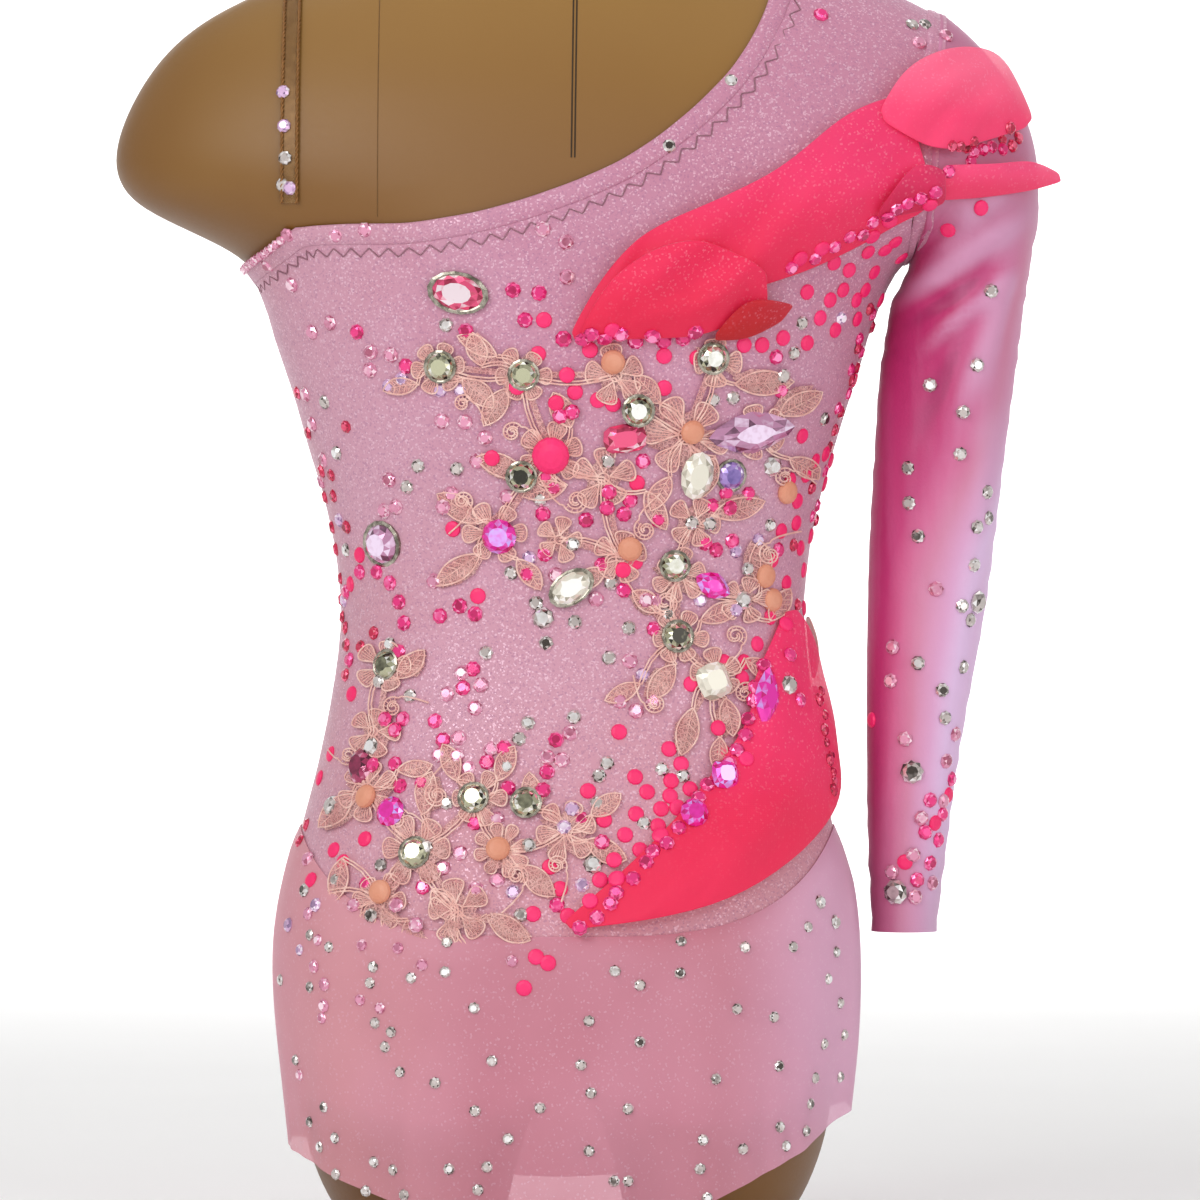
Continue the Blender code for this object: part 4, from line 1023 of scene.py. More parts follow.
# flowers: x, z, radius, petals, turn; leaves: x, z, direction, length, width; curls: x, z, radius, turn
laces = {
    "lace_back": {
        "flowers": (
            (-53.5, 366.5, 11, 6, 10), (-19.7, 363, 11, 6, 0), (18, 363, 12, 5, 30), (46.5, 338.5, 17, 6, 54),
            (58.5, 369, 9.5, 4, 0), (-8.4, 331, 13, 6, 20), (13, 321, 12, 5, 15), (76, 341, 11, 5, 40),
            (-31, 299, 12, 6, 0), (20, 289, 11, 5, 10), (-5, 296, 9, 5, 0),
        ),
        "leaves": (
            (-44, 362, -50, 17, 9), (-36, 367, 100, 14, 8), (-26, 358, -120, 18, 9), (66, 360, 5, 24, 10),
            (84, 348, 35, 20, 9), (0, 342, 115, 16, 9), (-18, 322, 165, 22, 9), (-38, 303, 150, 20, 9),
            (-37, 290, 220, 22, 9), (58, 330, 255, 18, 9), (14, 284, 215, 16, 8), (-30, 371, 160, 18, 7),
            (-62, 360, 200, 14, 7), (36, 352, 140, 15, 8), (-2, 318, 200, 18, 8), (30, 316, 300, 18, 8),
            (40, 322, 250, 16, 8), (-22, 288, 300, 16, 8), (88, 330, -30, 16, 8),
        ),
        "curls": ((2, 312, 5.5, 200), (-24, 340, 4.5, 30), (30, 300, 5, 120), (-44, 312, 4.5, 300),
                  (86, 322, 4.5, 40), (-44, 352, 4, 10)),
    },
    "lace_side": {
        "flowers": (
            (50, 303, 10.5, 5, 0), (43.5, 281, 11, 6, 20), (70, 271, 10, 5, 0), (43.5, 255, 11, 6, 0),
            (59, 240, 10, 5, 30),
        ),
        "leaves": (
            (57, 306, 20, 22, 9), (36, 266, 150, 14, 8), (76, 278, 95, 18, 9), (49, 226, 255, 20, 9),
            (42, 244, 225, 18, 9), (62, 230, -85, 16, 8), (80, 262, 60, 16, 8), (52, 262, 20, 18, 8),
            (28, 236, 200, 16, 7), (70, 246, -20, 14, 7), (60, 214, -100, 14, 7),
        ),
        "curls": ((38, 270, 6, 200), (66, 256, 5, 300), (70, 232, 4.5, 60), (34, 228, 4.5, 180),
                  (80, 290, 5, 90)),
    },
    "lace_hip": {
        "flowers": (
            (-76, 243, 10.5, 5, 0), (-80, 216, 10, 5, 0), (-82, 192, 12, 6, 20), (-62, 168, 14, 6, 0),
            (-38, 189, 11, 6, 0), (-28, 168, 11, 8, 15), (-2, 176, 12, 6, 10), (-77, 147, 11, 6, 0),
            (-46, 144, 12, 5, 30),
        ),
        "leaves": (
            (-70, 238, 50, 16, 8), (-88, 190, 225, 20, 9), (-60, 182, 70, 18, 9), (-14, 184, 95, 16, 8),
            (6, 172, -20, 18, 9), (-84, 140, 245, 20, 9), (-66, 140, -75, 20, 9), (-48, 134, -105, 16, 8),
            (-34, 142, -25, 20, 9), (-20, 162, -40, 18, 9), (-30, 196, 60, 16, 8), (-46, 196, 120, 16, 8),
            (-56, 152, 300, 14, 7), (-92, 164, 260, 18, 8), (-70, 200, 20, 14, 7), (8, 182, 40, 15, 8),
            (-98, 150, 250, 14, 7), (-40, 128, 280, 14, 7),
        ),
        "curls": ((-54, 190, 5.5, 120), (-22, 158, 5, 300), (-70, 180, 5, 30), (-90, 206, 4.5, 200),
                  (-60, 130, 4.5, 270), (-6, 162, 4.5, 330), (-72, 226, 4.5, 60)),
    },
}
# threads are laid only where the form faces the camera, up to this y of its normal
laceThreads = {"outline": 0.42, "vein": 0.26, "lift": 3.0, "net": 0.12, "step": 1.8, "facing": -0.35}


def turned(x, z, degrees, along, aside):
    angle = math.radians(degrees)
    return (x + along * math.cos(angle) - aside * math.sin(angle),
            z + along * math.sin(angle) + aside * math.cos(angle))


def flowerLines(x, z, radius, petalCount, turn):
    bold, fine, filled = [], [], []
    wide = radius * 1.8 / petalCount
    for number in range(petalCount):
        way = turn + 360 * number / petalCount + random.uniform(-5, 5)
        size = radius * random.uniform(0.9, 1.12)
        loop = []
        for step in range(19):
            u = step / 18
            along = size * (0.20 + 0.80 * math.sin(math.pi * u) ** 0.75)
            aside = wide * math.sin(math.tau * u)
            loop.append(turned(x, z, way, along, aside))
        bold.append(loop)
        filled.append(loop)
        for share in (-0.66, -0.4, -0.14, 0.14, 0.4, 0.66):
            near = turned(x, z, way, size * 0.34, share * wide * 0.5)
            far = turned(x, z, way, size * (0.95 - 0.25 * abs(share)), share * wide * 1.15)
            fine.append([near, far])
    centre = [turned(x, z, 36 * step, radius * 0.2, 0) for step in range(11)]
    bold.append(centre)
    return bold, fine, filled


def leafLines(x, z, direction, length, width):
    bold, fine = [], []
    bend = random.uniform(-2.5, 2.5)
    loop = []
    for step in range(21):
        u = step / 20
        share = 1 - abs(1 - 2 * u)
        side = 1 if u < 0.5 else -1
        aside = side * width * 0.5 * math.sin(math.pi * share) ** 0.8 + bend * math.sin(math.pi * share / 2)
        loop.append(turned(x, z, direction, length * share, aside))
    bold.append(loop)
    rib = [turned(x, z, direction, length * share, bend * math.sin(math.pi * share / 2))
           for share in (0, 0.25, 0.5, 0.75, 0.92)]
    fine.append(rib)
    for share in (0.2, 0.35, 0.5, 0.65, 0.8):
        middle = bend * math.sin(math.pi * share / 2)
        reach = width * 0.5 * math.sin(math.pi * share) ** 0.8
        for side in (1, -1):
            fine.append([turned(x, z, direction, length * share, middle),
                         turned(x, z, direction, length * (share + 0.12), middle + side * reach * 0.85)])
    return bold, fine, [loop]


def curlLines(x, z, radius, turn):
    outer, inner = [], []
    for step in range(31):
        u = step / 30
        outer.append(turned(x, z, turn + 470 * u, radius * (1 - 0.72 * u), 0))
        inner.append(turned(x, z, turn + 470 * u, radius * (1 - 0.72 * u) - 1.8 * (1 - 0.5 * u), 0))
    tail = [turned(x, z, turn, radius * (1 + 0.25 * step), -radius * 0.16 * step * step) for step in range(5)]
    rungs = [[far, near] for far, near in zip(outer[1:-4:2], inner[1:-4:2])]
    return [outer, inner, tail], rungs, []


def stemLines(layout):
    flowers = layout["flowers"]
    lines = []
    for number, motif in enumerate(list(layout["leaves"]) + list(flowers[1:])):
        others = flowers if number < len(layout["leaves"]) else flowers[:number - len(layout["leaves"]) + 1]
        x, z = motif[0], motif[1]
        near = min(others, key=lambda other: (other[0] - x) ** 2 + (other[1] - z) ** 2)
        dx, dz = near[0] - x, near[1] - z
        length = math.hypot(dx, dz)
        if length < 3:
            continue
        for side in (-0.5, 0.5):
            lines.append([(x + dx * share - dz / length * (3.0 * math.sin(math.pi * share) + side * 1.3),
                           z + dz * share + dx / length * (3.0 * math.sin(math.pi * share) + side * 1.3))
                          for share in (0, 0.2, 0.4, 0.6, 0.8, 1.0)])
    return lines


def laidOnBack(line, lift):
    path = []
    for low, high in zip(line, line[1:]):
        steps = max(1, round(math.hypot(high[0] - low[0], high[1] - low[1]) / laceThreads["step"]))
        for step in range(steps):
            share = step / steps
            path.append((low[0] + (high[0] - low[0]) * share, low[1] + (high[1] - low[1]) * share))
    path.append(line[-1])
    laid = []
    for x, z in path:
        hit, normal = formHit(x, z)
        if hit and normal.y < laceThreads["facing"]:
            laid.append(hit + normal * lift * mm)
    return laid


def netFilling(name, loops):
    shape = bmesh.new()
    for loop in loops:
        if len(loop) < 4:
            continue
        hub = shape.verts.new(overForm(sum(loop, Vector()) / len(loop), laceThreads["lift"] - 0.05))
        rim = [shape.verts.new(spot) for spot in loop[:-1]]
        for low, high in zip(rim, rim[1:] + rim[:1]):
            shape.faces.new((hub, low, high))
    filling = newPiece(name, shape)
    facesOut(filling, fromForm)
    applyStep(filling, "SOLIDIFY", thickness=laceThreads["net"] * mm, offset=-1.0)
    return filling


outlineThread = laceThread("laceOutline", rgb(234, 178, 168), rgb(250, 210, 198))
veinThread = laceThread("laceVein", rgb(228, 168, 162), rgb(246, 198, 188))
netPaint = laceNet()
laceGrounds = []
for node, layout in laces.items():
    ground = cloneNode(node, node + "_net")
    smoothShade(ground, 40)
    finishPiece(ground, netPaint, "lace", node)
    laceGrounds.append(ground)
    bold, fine, filled = [], [], []
    for group, maker in (("flowers", flowerLines), ("leaves", leafLines), ("curls", curlLines)):
        for motif in layout[group]:
            more, thin, inside = maker(*motif)
            bold += more
            fine += thin
            filled += inside
    bold += stemLines(layout)
    bold = [laidOnBack(line, laceThreads["lift"] + 0.15) for line in bold]
    fine = [laidOnBack(line, laceThreads["lift"]) for line in fine]
    filled = [laidOnBack(line, laceThreads["lift"] - 0.05) for line in filled]
    finishPiece(netFilling(node + "_filling", filled), netPaint, "lace")
    finishPiece(threadPiece(node + "_cord", [line for line in bold if len(line) > 1], laceThreads["outline"]),
                outlineThread, "lace")
    finishPiece(threadPiece(node + "_veins", [line for line in fine if len(line) > 1], laceThreads["vein"]),
                veinThread, "lace")
laceTree = searchTree(*laceGrounds)
dressed.append(laceTree)
print("lace")

# Stones


def cutGem(name, sides, rings, squareness=2.0, length=1.0):
    # rings: radius share, height share and turn in half steps, from the seat up to the table
    shape = bmesh.new()
    loops = []
    for radius, high, halfTurn in rings:
        loop = []
        for side in range(sides):
            angle = math.tau * (side + halfTurn / 2) / sides
            power = 2 / squareness
            x = math.copysign(abs(math.cos(angle)) ** power, math.cos(angle)) * radius * length
            y = math.copysign(abs(math.sin(angle)) ** power, math.sin(angle)) * radius
            loop.append(shape.verts.new((x, y, high)))
        loops.append(loop)
    for (low, high), (below, above) in zip(zip(loops, loops[1:]), zip(rings, rings[1:])):
        shifted = above[2] - below[2]
        for side in range(sides):
            after = (side + 1) % sides
            if shifted:
                shape.faces.new((low[side], low[after], high[side]))
                shape.faces.new((low[after], high[after], high[side]))
            else:
                shape.faces.new((low[side], low[after], high[after], high[side]))
    shape.faces.new(loops[0][::-1])
    shape.faces.new(loops[-1])
    bmesh.ops.recalc_face_normals(shape, faces=shape.faces)
    model = bpy.data.meshes.new(name)
    shape.to_mesh(model)
    shape.free()
    return model


def strew(name, model, seats, paint, slot):
    # seats: point, normal, half length, half width, height, turn
    shape = bmesh.new()
    tones = []
    for point, normal, long, wide, high, turn in seats:
        vertsBefore, facesBefore = len(shape.verts), len(shape.faces)
        shape.from_mesh(model)
        shape.verts.ensure_lookup_table()
        shape.faces.ensure_lookup_table()
        level = Vector((0, 0, 1)).cross(normal)
        level = -level.normalized() if level.length > 0.05 else Vector((1, 0, 0))
        if level.x < 0:
            level = -level
        up = normal.cross(level).normalized()
        if up.z < 0:
            up = -up
        c, s = math.cos(math.radians(turn)), math.sin(math.radians(turn))
        for vert in shape.verts[vertsBefore:]:
            x, y, z = vert.co.x * long, vert.co.y * wide, vert.co.z * high
            vert.co = point + (level * (x * c - y * s) + up * (x * s + y * c) + normal * z) * mm
        if level.cross(up).dot(normal) < 0:
            bmesh.ops.reverse_faces(shape, faces=shape.faces[facesBefore:])
        # a random share for each facet, which the crystal materials turn into painted dark and bright
        # reflections
        tones += [random.random() for _ in shape.faces[facesBefore:]]
    piece = newPiece(name, shape)
    layer = piece.data.attributes.new("tone", "FLOAT", "FACE")
    layer.data.foreach_set("value", tones)
    return finishPiece(piece, paint, slot)


roundCut = cutGem("roundCut", 8, ((0.96, 0.0, 0), (1.0, 0.25, 0), (0.80, 0.70, 1), (0.52, 1.0, 2)))
smoothDot = cutGem("smoothDot", 12, ((0.98, 0.0, 0), (1.0, 0.35, 0), (0.88, 0.75, 0), (0.55, 1.0, 0)))
bigCut = cutGem("bigCut", 12, ((0.95, 0.0, 0), (1.0, 0.28, 0), (0.80, 0.68, 1), (0.55, 1.0, 2)))
cushionCut = cutGem("cushionCut", 12, ((0.95, 0.0, 0), (1.0, 0.3, 0), (0.78, 0.7, 1), (0.55, 1.0, 2)), 3.2)
pointedCut = cutGem("pointedCut", 12, ((0.95, 0.0, 0), (1.0, 0.3, 0), (0.74, 0.7, 1), (0.45, 1.0, 2)), 1.45)
pearl = cutGem("pearl", 14, ((0.92, 0.0, 0), (1.0, 0.3, 0), (0.92, 0.62, 0), (0.68, 0.88, 0), (0.34, 1.0, 0)))
ringCut = cutGem("ringCut", 14, ((1.02, -0.1, 0), (1.16, 0.05, 0), (1.16, 0.42, 0),
                                 (1.03, 0.55, 0), (0.9, 0.45, 0)))

# for each crystal: dark and bright are painted facet reflections, then metal, roughness and, where given,
# painted glow; the neon dots and peach beads have a painted glow too
stonePaints = {
    "clear": crystal("clearCrystal", rgb(70, 62, 56), rgb(206, 196, 192), rgb(255, 255, 255), 0.6),
    "rose": crystal("roseCrystal",
                    rgb(168, 84, 112), rgb(222, 148, 178), rgb(255, 226, 238), 0.4, 0.14, 0.05),
    "lilac": crystal("lilacCrystal",
                     rgb(140, 110, 150), rgb(214, 176, 214), rgb(255, 244, 255), 0.4, 0.14, 0.05),
    "hot": crystal("hotCrystal", rgb(176, 20, 84), rgb(232, 48, 128), rgb(255, 150, 200), 0.35, 0.16, 0.08),
    "ruby": crystal("rubyCrystal", rgb(140, 14, 50), rgb(206, 30, 76), rgb(255, 110, 150), 0.35, 0.16, 0.04),
    "neon": mattePearl("neonDot", rgb(232, 26, 100), rgb(246, 52, 124)),
    "peach": mattePearl("peachBead", rgb(206, 136, 108), rgb(220, 160, 134)),
}
stoneSlots = {"clear": "gem_champagne", "rose": "gem_pink", "lilac": "gem_lilac", "hot": "gem_pink",
              "ruby": "gem_magenta", "neon": "gem_pink", "peach": "gem_cream"}

# small stones by kind, each at its pixel of the photograph; sizes in pixels
smallStones = {
    "clear": (15, (
        (731, 81), (669, 146), (446, 325), (325, 402), (802, 323), (794, 353), (713, 400), (733, 398),
        (824, 419), (608, 461), (710, 524), (692, 523), (770, 525), (573, 544), (611, 583), (575, 622),
        (629, 628), (609, 658), (574, 717), (607, 763), (599, 776), (597, 803), (662, 769), (683, 776),
        (644, 823), (748, 569), (668, 614), (536, 603), (546, 643), (486, 653), (528, 723), (519, 739),
        (608, 762), (507, 767), (390, 644), (379, 681), (410, 696), (381, 865), (529, 845), (336, 880),
        (305, 890), (371, 915), (521, 915), (426, 847), (447, 803), (440, 801), (453, 806), (337, 453),
        (418, 466), (457, 469), (407, 487), (347, 550), (540, 499), (511, 573), (912, 25), (925, 25),
        (283, 185), (784, 376), (640, 985), (447, 942), (329, 947), (743, 600), (789, 685), (543, 618),
        (593, 864), (373, 747), (332, 806), (772, 466), (991, 291), (977, 365), (930, 385), (963, 412),
        (960, 454), (908, 468), (909, 503), (918, 536), (987, 492), (988, 518), (977, 527), (974, 565),
        (962, 606), (970, 620), (918, 663), (963, 667), (942, 690), (945, 718), (912, 772), (977, 602),
        (896, 892), (304, 891), (310, 935), (281, 980), (310, 987), (373, 967), (444, 943), (445, 972),
        (370, 983), (411, 978), (375, 1023), (391, 1032), (385, 1047), (400, 1072), (435, 1083),
        (474, 1008), (492, 1061), (475, 1111), (540, 1108), (296, 1060), (324, 1107), (310, 1122),
        (335, 1138), (320, 1147), (336, 1174), (374, 1162), (393, 1170), (449, 1169), (487, 1167),
        (508, 1139), (366, 1191), (404, 1195), (478, 1190), (589, 1021), (581, 1065), (591, 1093),
        (589, 1151), (681, 941), (615, 971), (680, 973), (745, 947), (793, 947), (808, 927), (820, 902),
        (835, 922), (836, 952), (828, 979), (840, 1003), (737, 1009), (774, 1017), (844, 1035),
        (824, 1044), (640, 1042), (779, 1066), (716, 1079), (815, 1078), (840, 1077), (628, 1109),
        (810, 1104), (703, 1140), (780, 1127), (806, 1131), (743, 1149), (786, 1146), (700, 1169),
        (614, 1181), (628, 1181), (707, 1198),
    )),
    "rose": (16, (
        (543, 229), (566, 242), (567, 277), (288, 235), (336, 235), (365, 230), (268, 265), (292, 285),
        (330, 323), (312, 332), (371, 352), (391, 355), (370, 370), (442, 421), (465, 422), (485, 438),
        (477, 461), (452, 494), (443, 507), (389, 480), (384, 511), (396, 507), (507, 497), (306, 394),
        (313, 424), (324, 460), (322, 481), (434, 581), (556, 575), (596, 599), (646, 600), (656, 600),
        (630, 661), (620, 701), (636, 711), (653, 701), (570, 733), (462, 673), (481, 685), (447, 694),
        (475, 708), (459, 738), (439, 755), (457, 756), (491, 749), (562, 760), (547, 757), (476, 889),
        (497, 880), (497, 819), (308, 859), (468, 768), (443, 868), (460, 853), (512, 961), (318, 940),
        (322, 1018), (300, 1075), (946, 36), (919, 43), (955, 734), (905, 739), (946, 761), (943, 801),
        (921, 818), (913, 855), (893, 647), (936, 589), (891, 681), (892, 872), (932, 883), (915, 897),
        (354, 905), (396, 905), (416, 925), (398, 948), (422, 965), (360, 1000), (380, 1008), (362, 945),
    )),
    "lilac": (15, (
        (841, 318), (736, 551), (643, 675), (572, 809), (564, 827), (389, 386), (402, 379), (461, 390),
        (572, 810), (564, 826), (582, 885), (513, 892), (529, 558), (811, 557), (440, 390), (758, 540),
        (700, 600), (736, 610), (345, 600), (340, 520), (316, 905), (289, 925), (300, 950),
    )),
    "hot": (16, (
        (776, 357), (560, 416), (572, 412), (643, 461), (609, 492), (607, 508), (624, 514), (543, 514),
        (781, 391), (726, 493), (748, 494), (712, 506), (730, 508), (554, 488), (546, 476), (705, 543),
        (716, 550), (732, 541), (778, 550), (624, 590), (390, 583), (399, 602), (404, 623), (399, 652),
        (395, 764), (395, 730), (385, 719), (403, 719), (373, 765), (422, 783), (400, 786), (435, 721),
        (443, 740), (463, 688), (473, 669), (440, 616), (460, 606), (475, 614), (487, 762), (504, 748),
        (508, 788), (547, 772), (543, 790), (556, 740), (602, 842), (366, 884), (423, 887), (557, 905),
        (357, 332), (406, 366), (513, 290), (539, 293), (525, 320), (466, 331), (545, 554), (527, 574),
        (542, 513), (360, 572), (377, 572), (347, 592), (475, 823), (654, 629), (581, 819), (821, 15),
        (602, 565), (586, 520), (630, 500), (658, 520), (790, 655), (800, 700), (350, 660), (930, 800),
        (925, 832), (938, 840), (942, 814), (930, 863), (929, 791), (917, 880), (862, 905), (924, 772),
        (951, 779),
    )),
    "ruby": (14, (
        (871, 327), (869, 309), (859, 341), (857, 348), (871, 345), (856, 368), (840, 412), (811, 488),
        (793, 545), (309, 433), (322, 471), (298, 393), (326, 497), (327, 517), (333, 527), (347, 527),
        (332, 540), (337, 549), (334, 496), (346, 628), (361, 647), (374, 633), (347, 645), (349, 656),
        (346, 675), (307, 825), (300, 841), (818, 640), (826, 660), (819, 700), (824, 730), (829, 760),
        (833, 790), (797, 605), (851, 380), (846, 396), (834, 430), (829, 447), (824, 470), (820, 500),
        (815, 520), (1010, 128), (1018, 138), (1012, 146),
    )),
    "neon": (16, (
        (834, 263), (849, 270), (874, 272), (895, 242), (807, 292), (830, 300), (857, 319), (783, 338),
        (807, 343), (744, 345), (697, 358), (664, 356), (664, 388), (567, 375), (556, 403), (598, 400),
        (613, 404), (544, 320), (558, 334), (802, 436), (825, 454), (815, 461), (637, 483), (781, 531),
        (797, 501), (811, 513), (588, 791), (604, 820), (635, 777), (647, 792), (636, 814), (670, 796),
        (671, 781), (681, 764), (690, 789), (669, 749), (619, 732), (691, 684), (724, 662), (744, 662),
        (742, 678), (757, 644), (770, 617), (718, 728), (739, 740), (724, 753), (746, 759), (661, 809),
        (658, 826), (765, 671), (797, 601), (803, 608), (786, 624), (803, 570), (810, 536), (780, 532),
        (796, 523), (635, 562), (623, 570), (786, 583), (478, 596), (352, 694), (331, 754), (320, 778),
        (334, 850), (343, 862), (365, 839), (311, 880), (589, 793), (603, 820), (550, 867), (560, 889),
        (614, 860), (590, 901), (568, 916), (533, 914), (362, 902), (517, 387), (538, 354), (556, 405),
        (543, 321), (492, 458), (545, 476), (453, 529), (360, 555), (351, 584), (510, 963), (536, 957),
        (548, 963), (524, 988), (948, 230), (981, 208), (914, 232), (885, 250), (901, 258), (868, 252),
        (930, 205), (856, 300), (843, 290), (865, 290), (880, 300), (835, 330), (820, 318), (590, 350),
        (612, 330), (640, 350), (720, 352), (762, 345), (575, 392), (790, 480), (806, 475), (800, 548),
        (772, 560), (600, 880), (575, 880), (625, 835), (640, 850), (356, 945), (370, 985), (400, 955),
        (935, 823), (948, 795), (925, 860), (905, 862), (872, 720),
    )),
    "peach": (24, (
        (613, 362), (692, 432), (786, 492), (630, 549), (764, 576), (771, 600), (367, 797), (498, 849),
        (381, 892),
    )),
}
# how small stones are cut and seated; the kinds not named here are cut round
cuts = {"neon": smoothDot, "peach": pearl}
heights = {"neon": 0.42, "peach": 0.75}
seating = {"high": 0.62, "sunk": 0.15, "room": 0.62}
# the larger ones among the small clear stones, in pixels
bigClear = {
    (977, 602): 24, (912, 772): 24, (896, 892): 26, (743, 600): 20, (789, 685): 20, (543, 618): 22,
    (593, 864): 20, (373, 747): 22, (332, 806): 22, (772, 466): 22,
}


# trails of dots along the petals' sewn edges, from pixel to pixel
trails = (
    ("hot", ((567, 335), (650, 338), (715, 335)), 15, 4, 17),
    ("hot", ((790, 268), (850, 238), (900, 212), (945, 188)), 14, 4, 15),
    ("neon", ((800, 262), (870, 236), (915, 205)), 24, 5, 17),
    ("ruby", ((948, 150), (975, 142), (1000, 138), (1022, 128)), 9, 5, 12),
    ("hot", ((945, 185), (958, 165), (985, 150), (1015, 142)), 12, 5, 14),
    ("hot", ((760, 665), (752, 720), (733, 765), (700, 800), (665, 840), (620, 890), (570, 940)), 16, 4, 16),
    ("neon", ((748, 690), (738, 745), (700, 790), (650, 850), (600, 905)), 26, 8, 17),
    ("ruby", ((820, 690), (826, 730), (832, 770), (840, 815)), 13, 2, 11),
    ("ruby", ((345, 430), (322, 500), (340, 580), (345, 640)), 24, 4, 13),
    ("neon", ((868, 340), (852, 400), (832, 460), (815, 530), (806, 600)), 22, 4, 17),
    ("hot", ((872, 322), (856, 372), (840, 420), (822, 490), (812, 540)), 19, 8, 14),
    ("rose", ((310, 890), (316, 960), (325, 1020)), 18, 7, 14),
)


def trailSpots(stops, spacing, jitter):
    spots = []
    for (ax, ay), (bx, by) in zip(stops, stops[1:]):
        steps = max(1, round(math.hypot(bx - ax, by - ay) / spacing))
        for step in range(steps):
            share = step / steps
            spots.append((ax + (bx - ax) * share + random.uniform(-jitter, jitter),
                          ay + (by - ay) * share + random.uniform(-jitter, jitter)))
    return spots


# stones below this pixel row, and left of the sleeve, are the skirt's smaller ones
skirtStones = {"size": 12, "below": 925, "leftOf": 862, "kinds": ("clear", "rose", "lilac")}


def stoneSize(kind, px, py, size):
    if kind in skirtStones["kinds"] and py > skirtStones["below"] and px < skirtStones["leftOf"]:
        return skirtStones["size"]
    return bigClear.get((px, py), size)


places = {kind: [(px, py, stoneSize(kind, px, py, size)) for px, py in spots]
          for kind, (size, spots) in smallStones.items()}
for kind, stops, spacing, jitter, size in trails:
    places[kind] += [(px, py, size) for px, py in trailSpots(stops, spacing, jitter)]

taken = []
for kind, spots in places.items():
    seats = []
    for px, py, size in spots:
        found = onDress(px, py)
        if not found:
            continue
        hit, normal, _ = found
        half = size * photo["pixel"] / 2
        if any((hit - other).length < (half + room) * mm * seating["room"] for other, room in taken):
            continue
        taken.append((hit, half))
        high = half * heights.get(kind, seating["high"])
        sunk = hit + normal * -seating["sunk"] * mm
        seats.append((sunk, normal, half, half, high, random.uniform(0, 90)))
    strew("stones_" + kind, cuts.get(kind, roundCut), seats, stonePaints[kind], stoneSlots[kind])
    print("stones", kind, len(seats))

# large sewn stones: length, width, turn, cut, colour, claw setting
bigStones = {
    "stone_pink_oval": (22.5, 15, -12, bigCut, "bigPink", True),
    "stone_upper_left": (12, 12, 0, bigCut, "champagne", True),
    "stone_upper_middle": (11.5, 11.5, 0, bigCut, "champagne", True),
    "stone_upper_right": (12, 12, 0, bigCut, "champagne", True),
    "stone_centre_right": (12, 12, 0, bigCut, "champagne", True),
    "stone_pink_bar": (18, 12, 8, cushionCut, "bigPink", False),
    "stone_lilac_navette": (40, 18, 8, pointedCut, "mauve", False),
    "stone_cream_drop": (14, 20, -10, bigCut, "cream", False),
    "stone_blue_drop": (12, 12, 0, bigCut, "blueLilac", True),
    "stone_neon_cabochon": (15.5, 15.5, 0, pearl, "neon", False),
    "stone_left_crystal": (11.5, 11.5, 0, bigCut, "champagne", True),
    "stone_rose": (14.5, 14.5, 0, bigCut, "rainbow", False),
    "stone_mauve": (17, 17, 0, bigCut, "mauve", True),
    "stone_cream_navette": (18, 12, 35, bigCut, "cream", True),
    "stone_side_upper": (11.5, 11.5, 0, bigCut, "champagne", True),
    "stone_side_navette": (17, 11, -25, pointedCut, "rainbow", False),
    "stone_side_lower": (12, 12, 0, bigCut, "champagne", True),
    "stone_cream_cut": (15, 15, 20, cushionCut, "cream", False),
    "stone_hip_navette": (13, 26, -12, pointedCut, "rainbow", False),
    "stone_hip_cushion": (12, 12, 0, cushionCut, "rainbow", False),
    "stone_hip_heart": (12, 12, 0, bigCut, "rainbow", False),
    "stone_left_upper": (11.5, 11.5, 0, bigCut, "champagne", True),
    "stone_left_pear": (13, 16, 20, bigCut, "wine", False),
    "stone_left_low": (13, 13, 0, bigCut, "rainbow", False),
    "stone_hip_left": (12, 12, 0, bigCut, "champagne", True),
    "stone_hip_middle": (11.5, 11.5, 0, bigCut, "champagne", True),
    "stone_hip_right": (11.5, 11.5, 0, bigCut, "champagne", True),
}
# for each stone: dark and bright are painted facet reflections, then metal, roughness and, where given,
# painted glow
bigPaints = {
    "bigPink": crystal("bigPink", rgb(150, 20, 60), rgb(236, 84, 130), rgb(255, 236, 244), 0.5, 0.08, 0.05),
    "champagne": crystal("champagne", rgb(40, 38, 26), rgb(188, 188, 156), rgb(255, 255, 250), 0.75, 0.06),
    "mauve": crystal("mauveStone",
                     rgb(110, 70, 96), rgb(196, 140, 176), rgb(246, 224, 250), 0.35, 0.08, 0.03),
    "cream": crystal("creamStone",
                     rgb(170, 164, 146), rgb(226, 222, 206), rgb(255, 255, 250), 0.1, 0.10, 0.03),
    "blueLilac": crystal("blueLilac",
                         rgb(96, 76, 150), rgb(168, 140, 210), rgb(236, 228, 255), 0.4, 0.08, 0.03),
    "rainbow": crystal("rainbowPink",
                       rgb(190, 12, 96), rgb(232, 44, 170), rgb(206, 176, 255), 0.4, 0.08, 0.10),
    "wine": crystal("wineStone", rgb(80, 14, 44), rgb(168, 52, 96), rgb(246, 180, 206), 0.5, 0.08, 0.02),
    "neon": stonePaints["neon"],
}
slotOf = {part["node"]: part["material_slot"] for part in frame["record"]["subparts"]}
bigSeat = {"sunk": 0.15, "high": 0.32, "claw": 0.24}  # shares of a stone's smaller side
rims = []
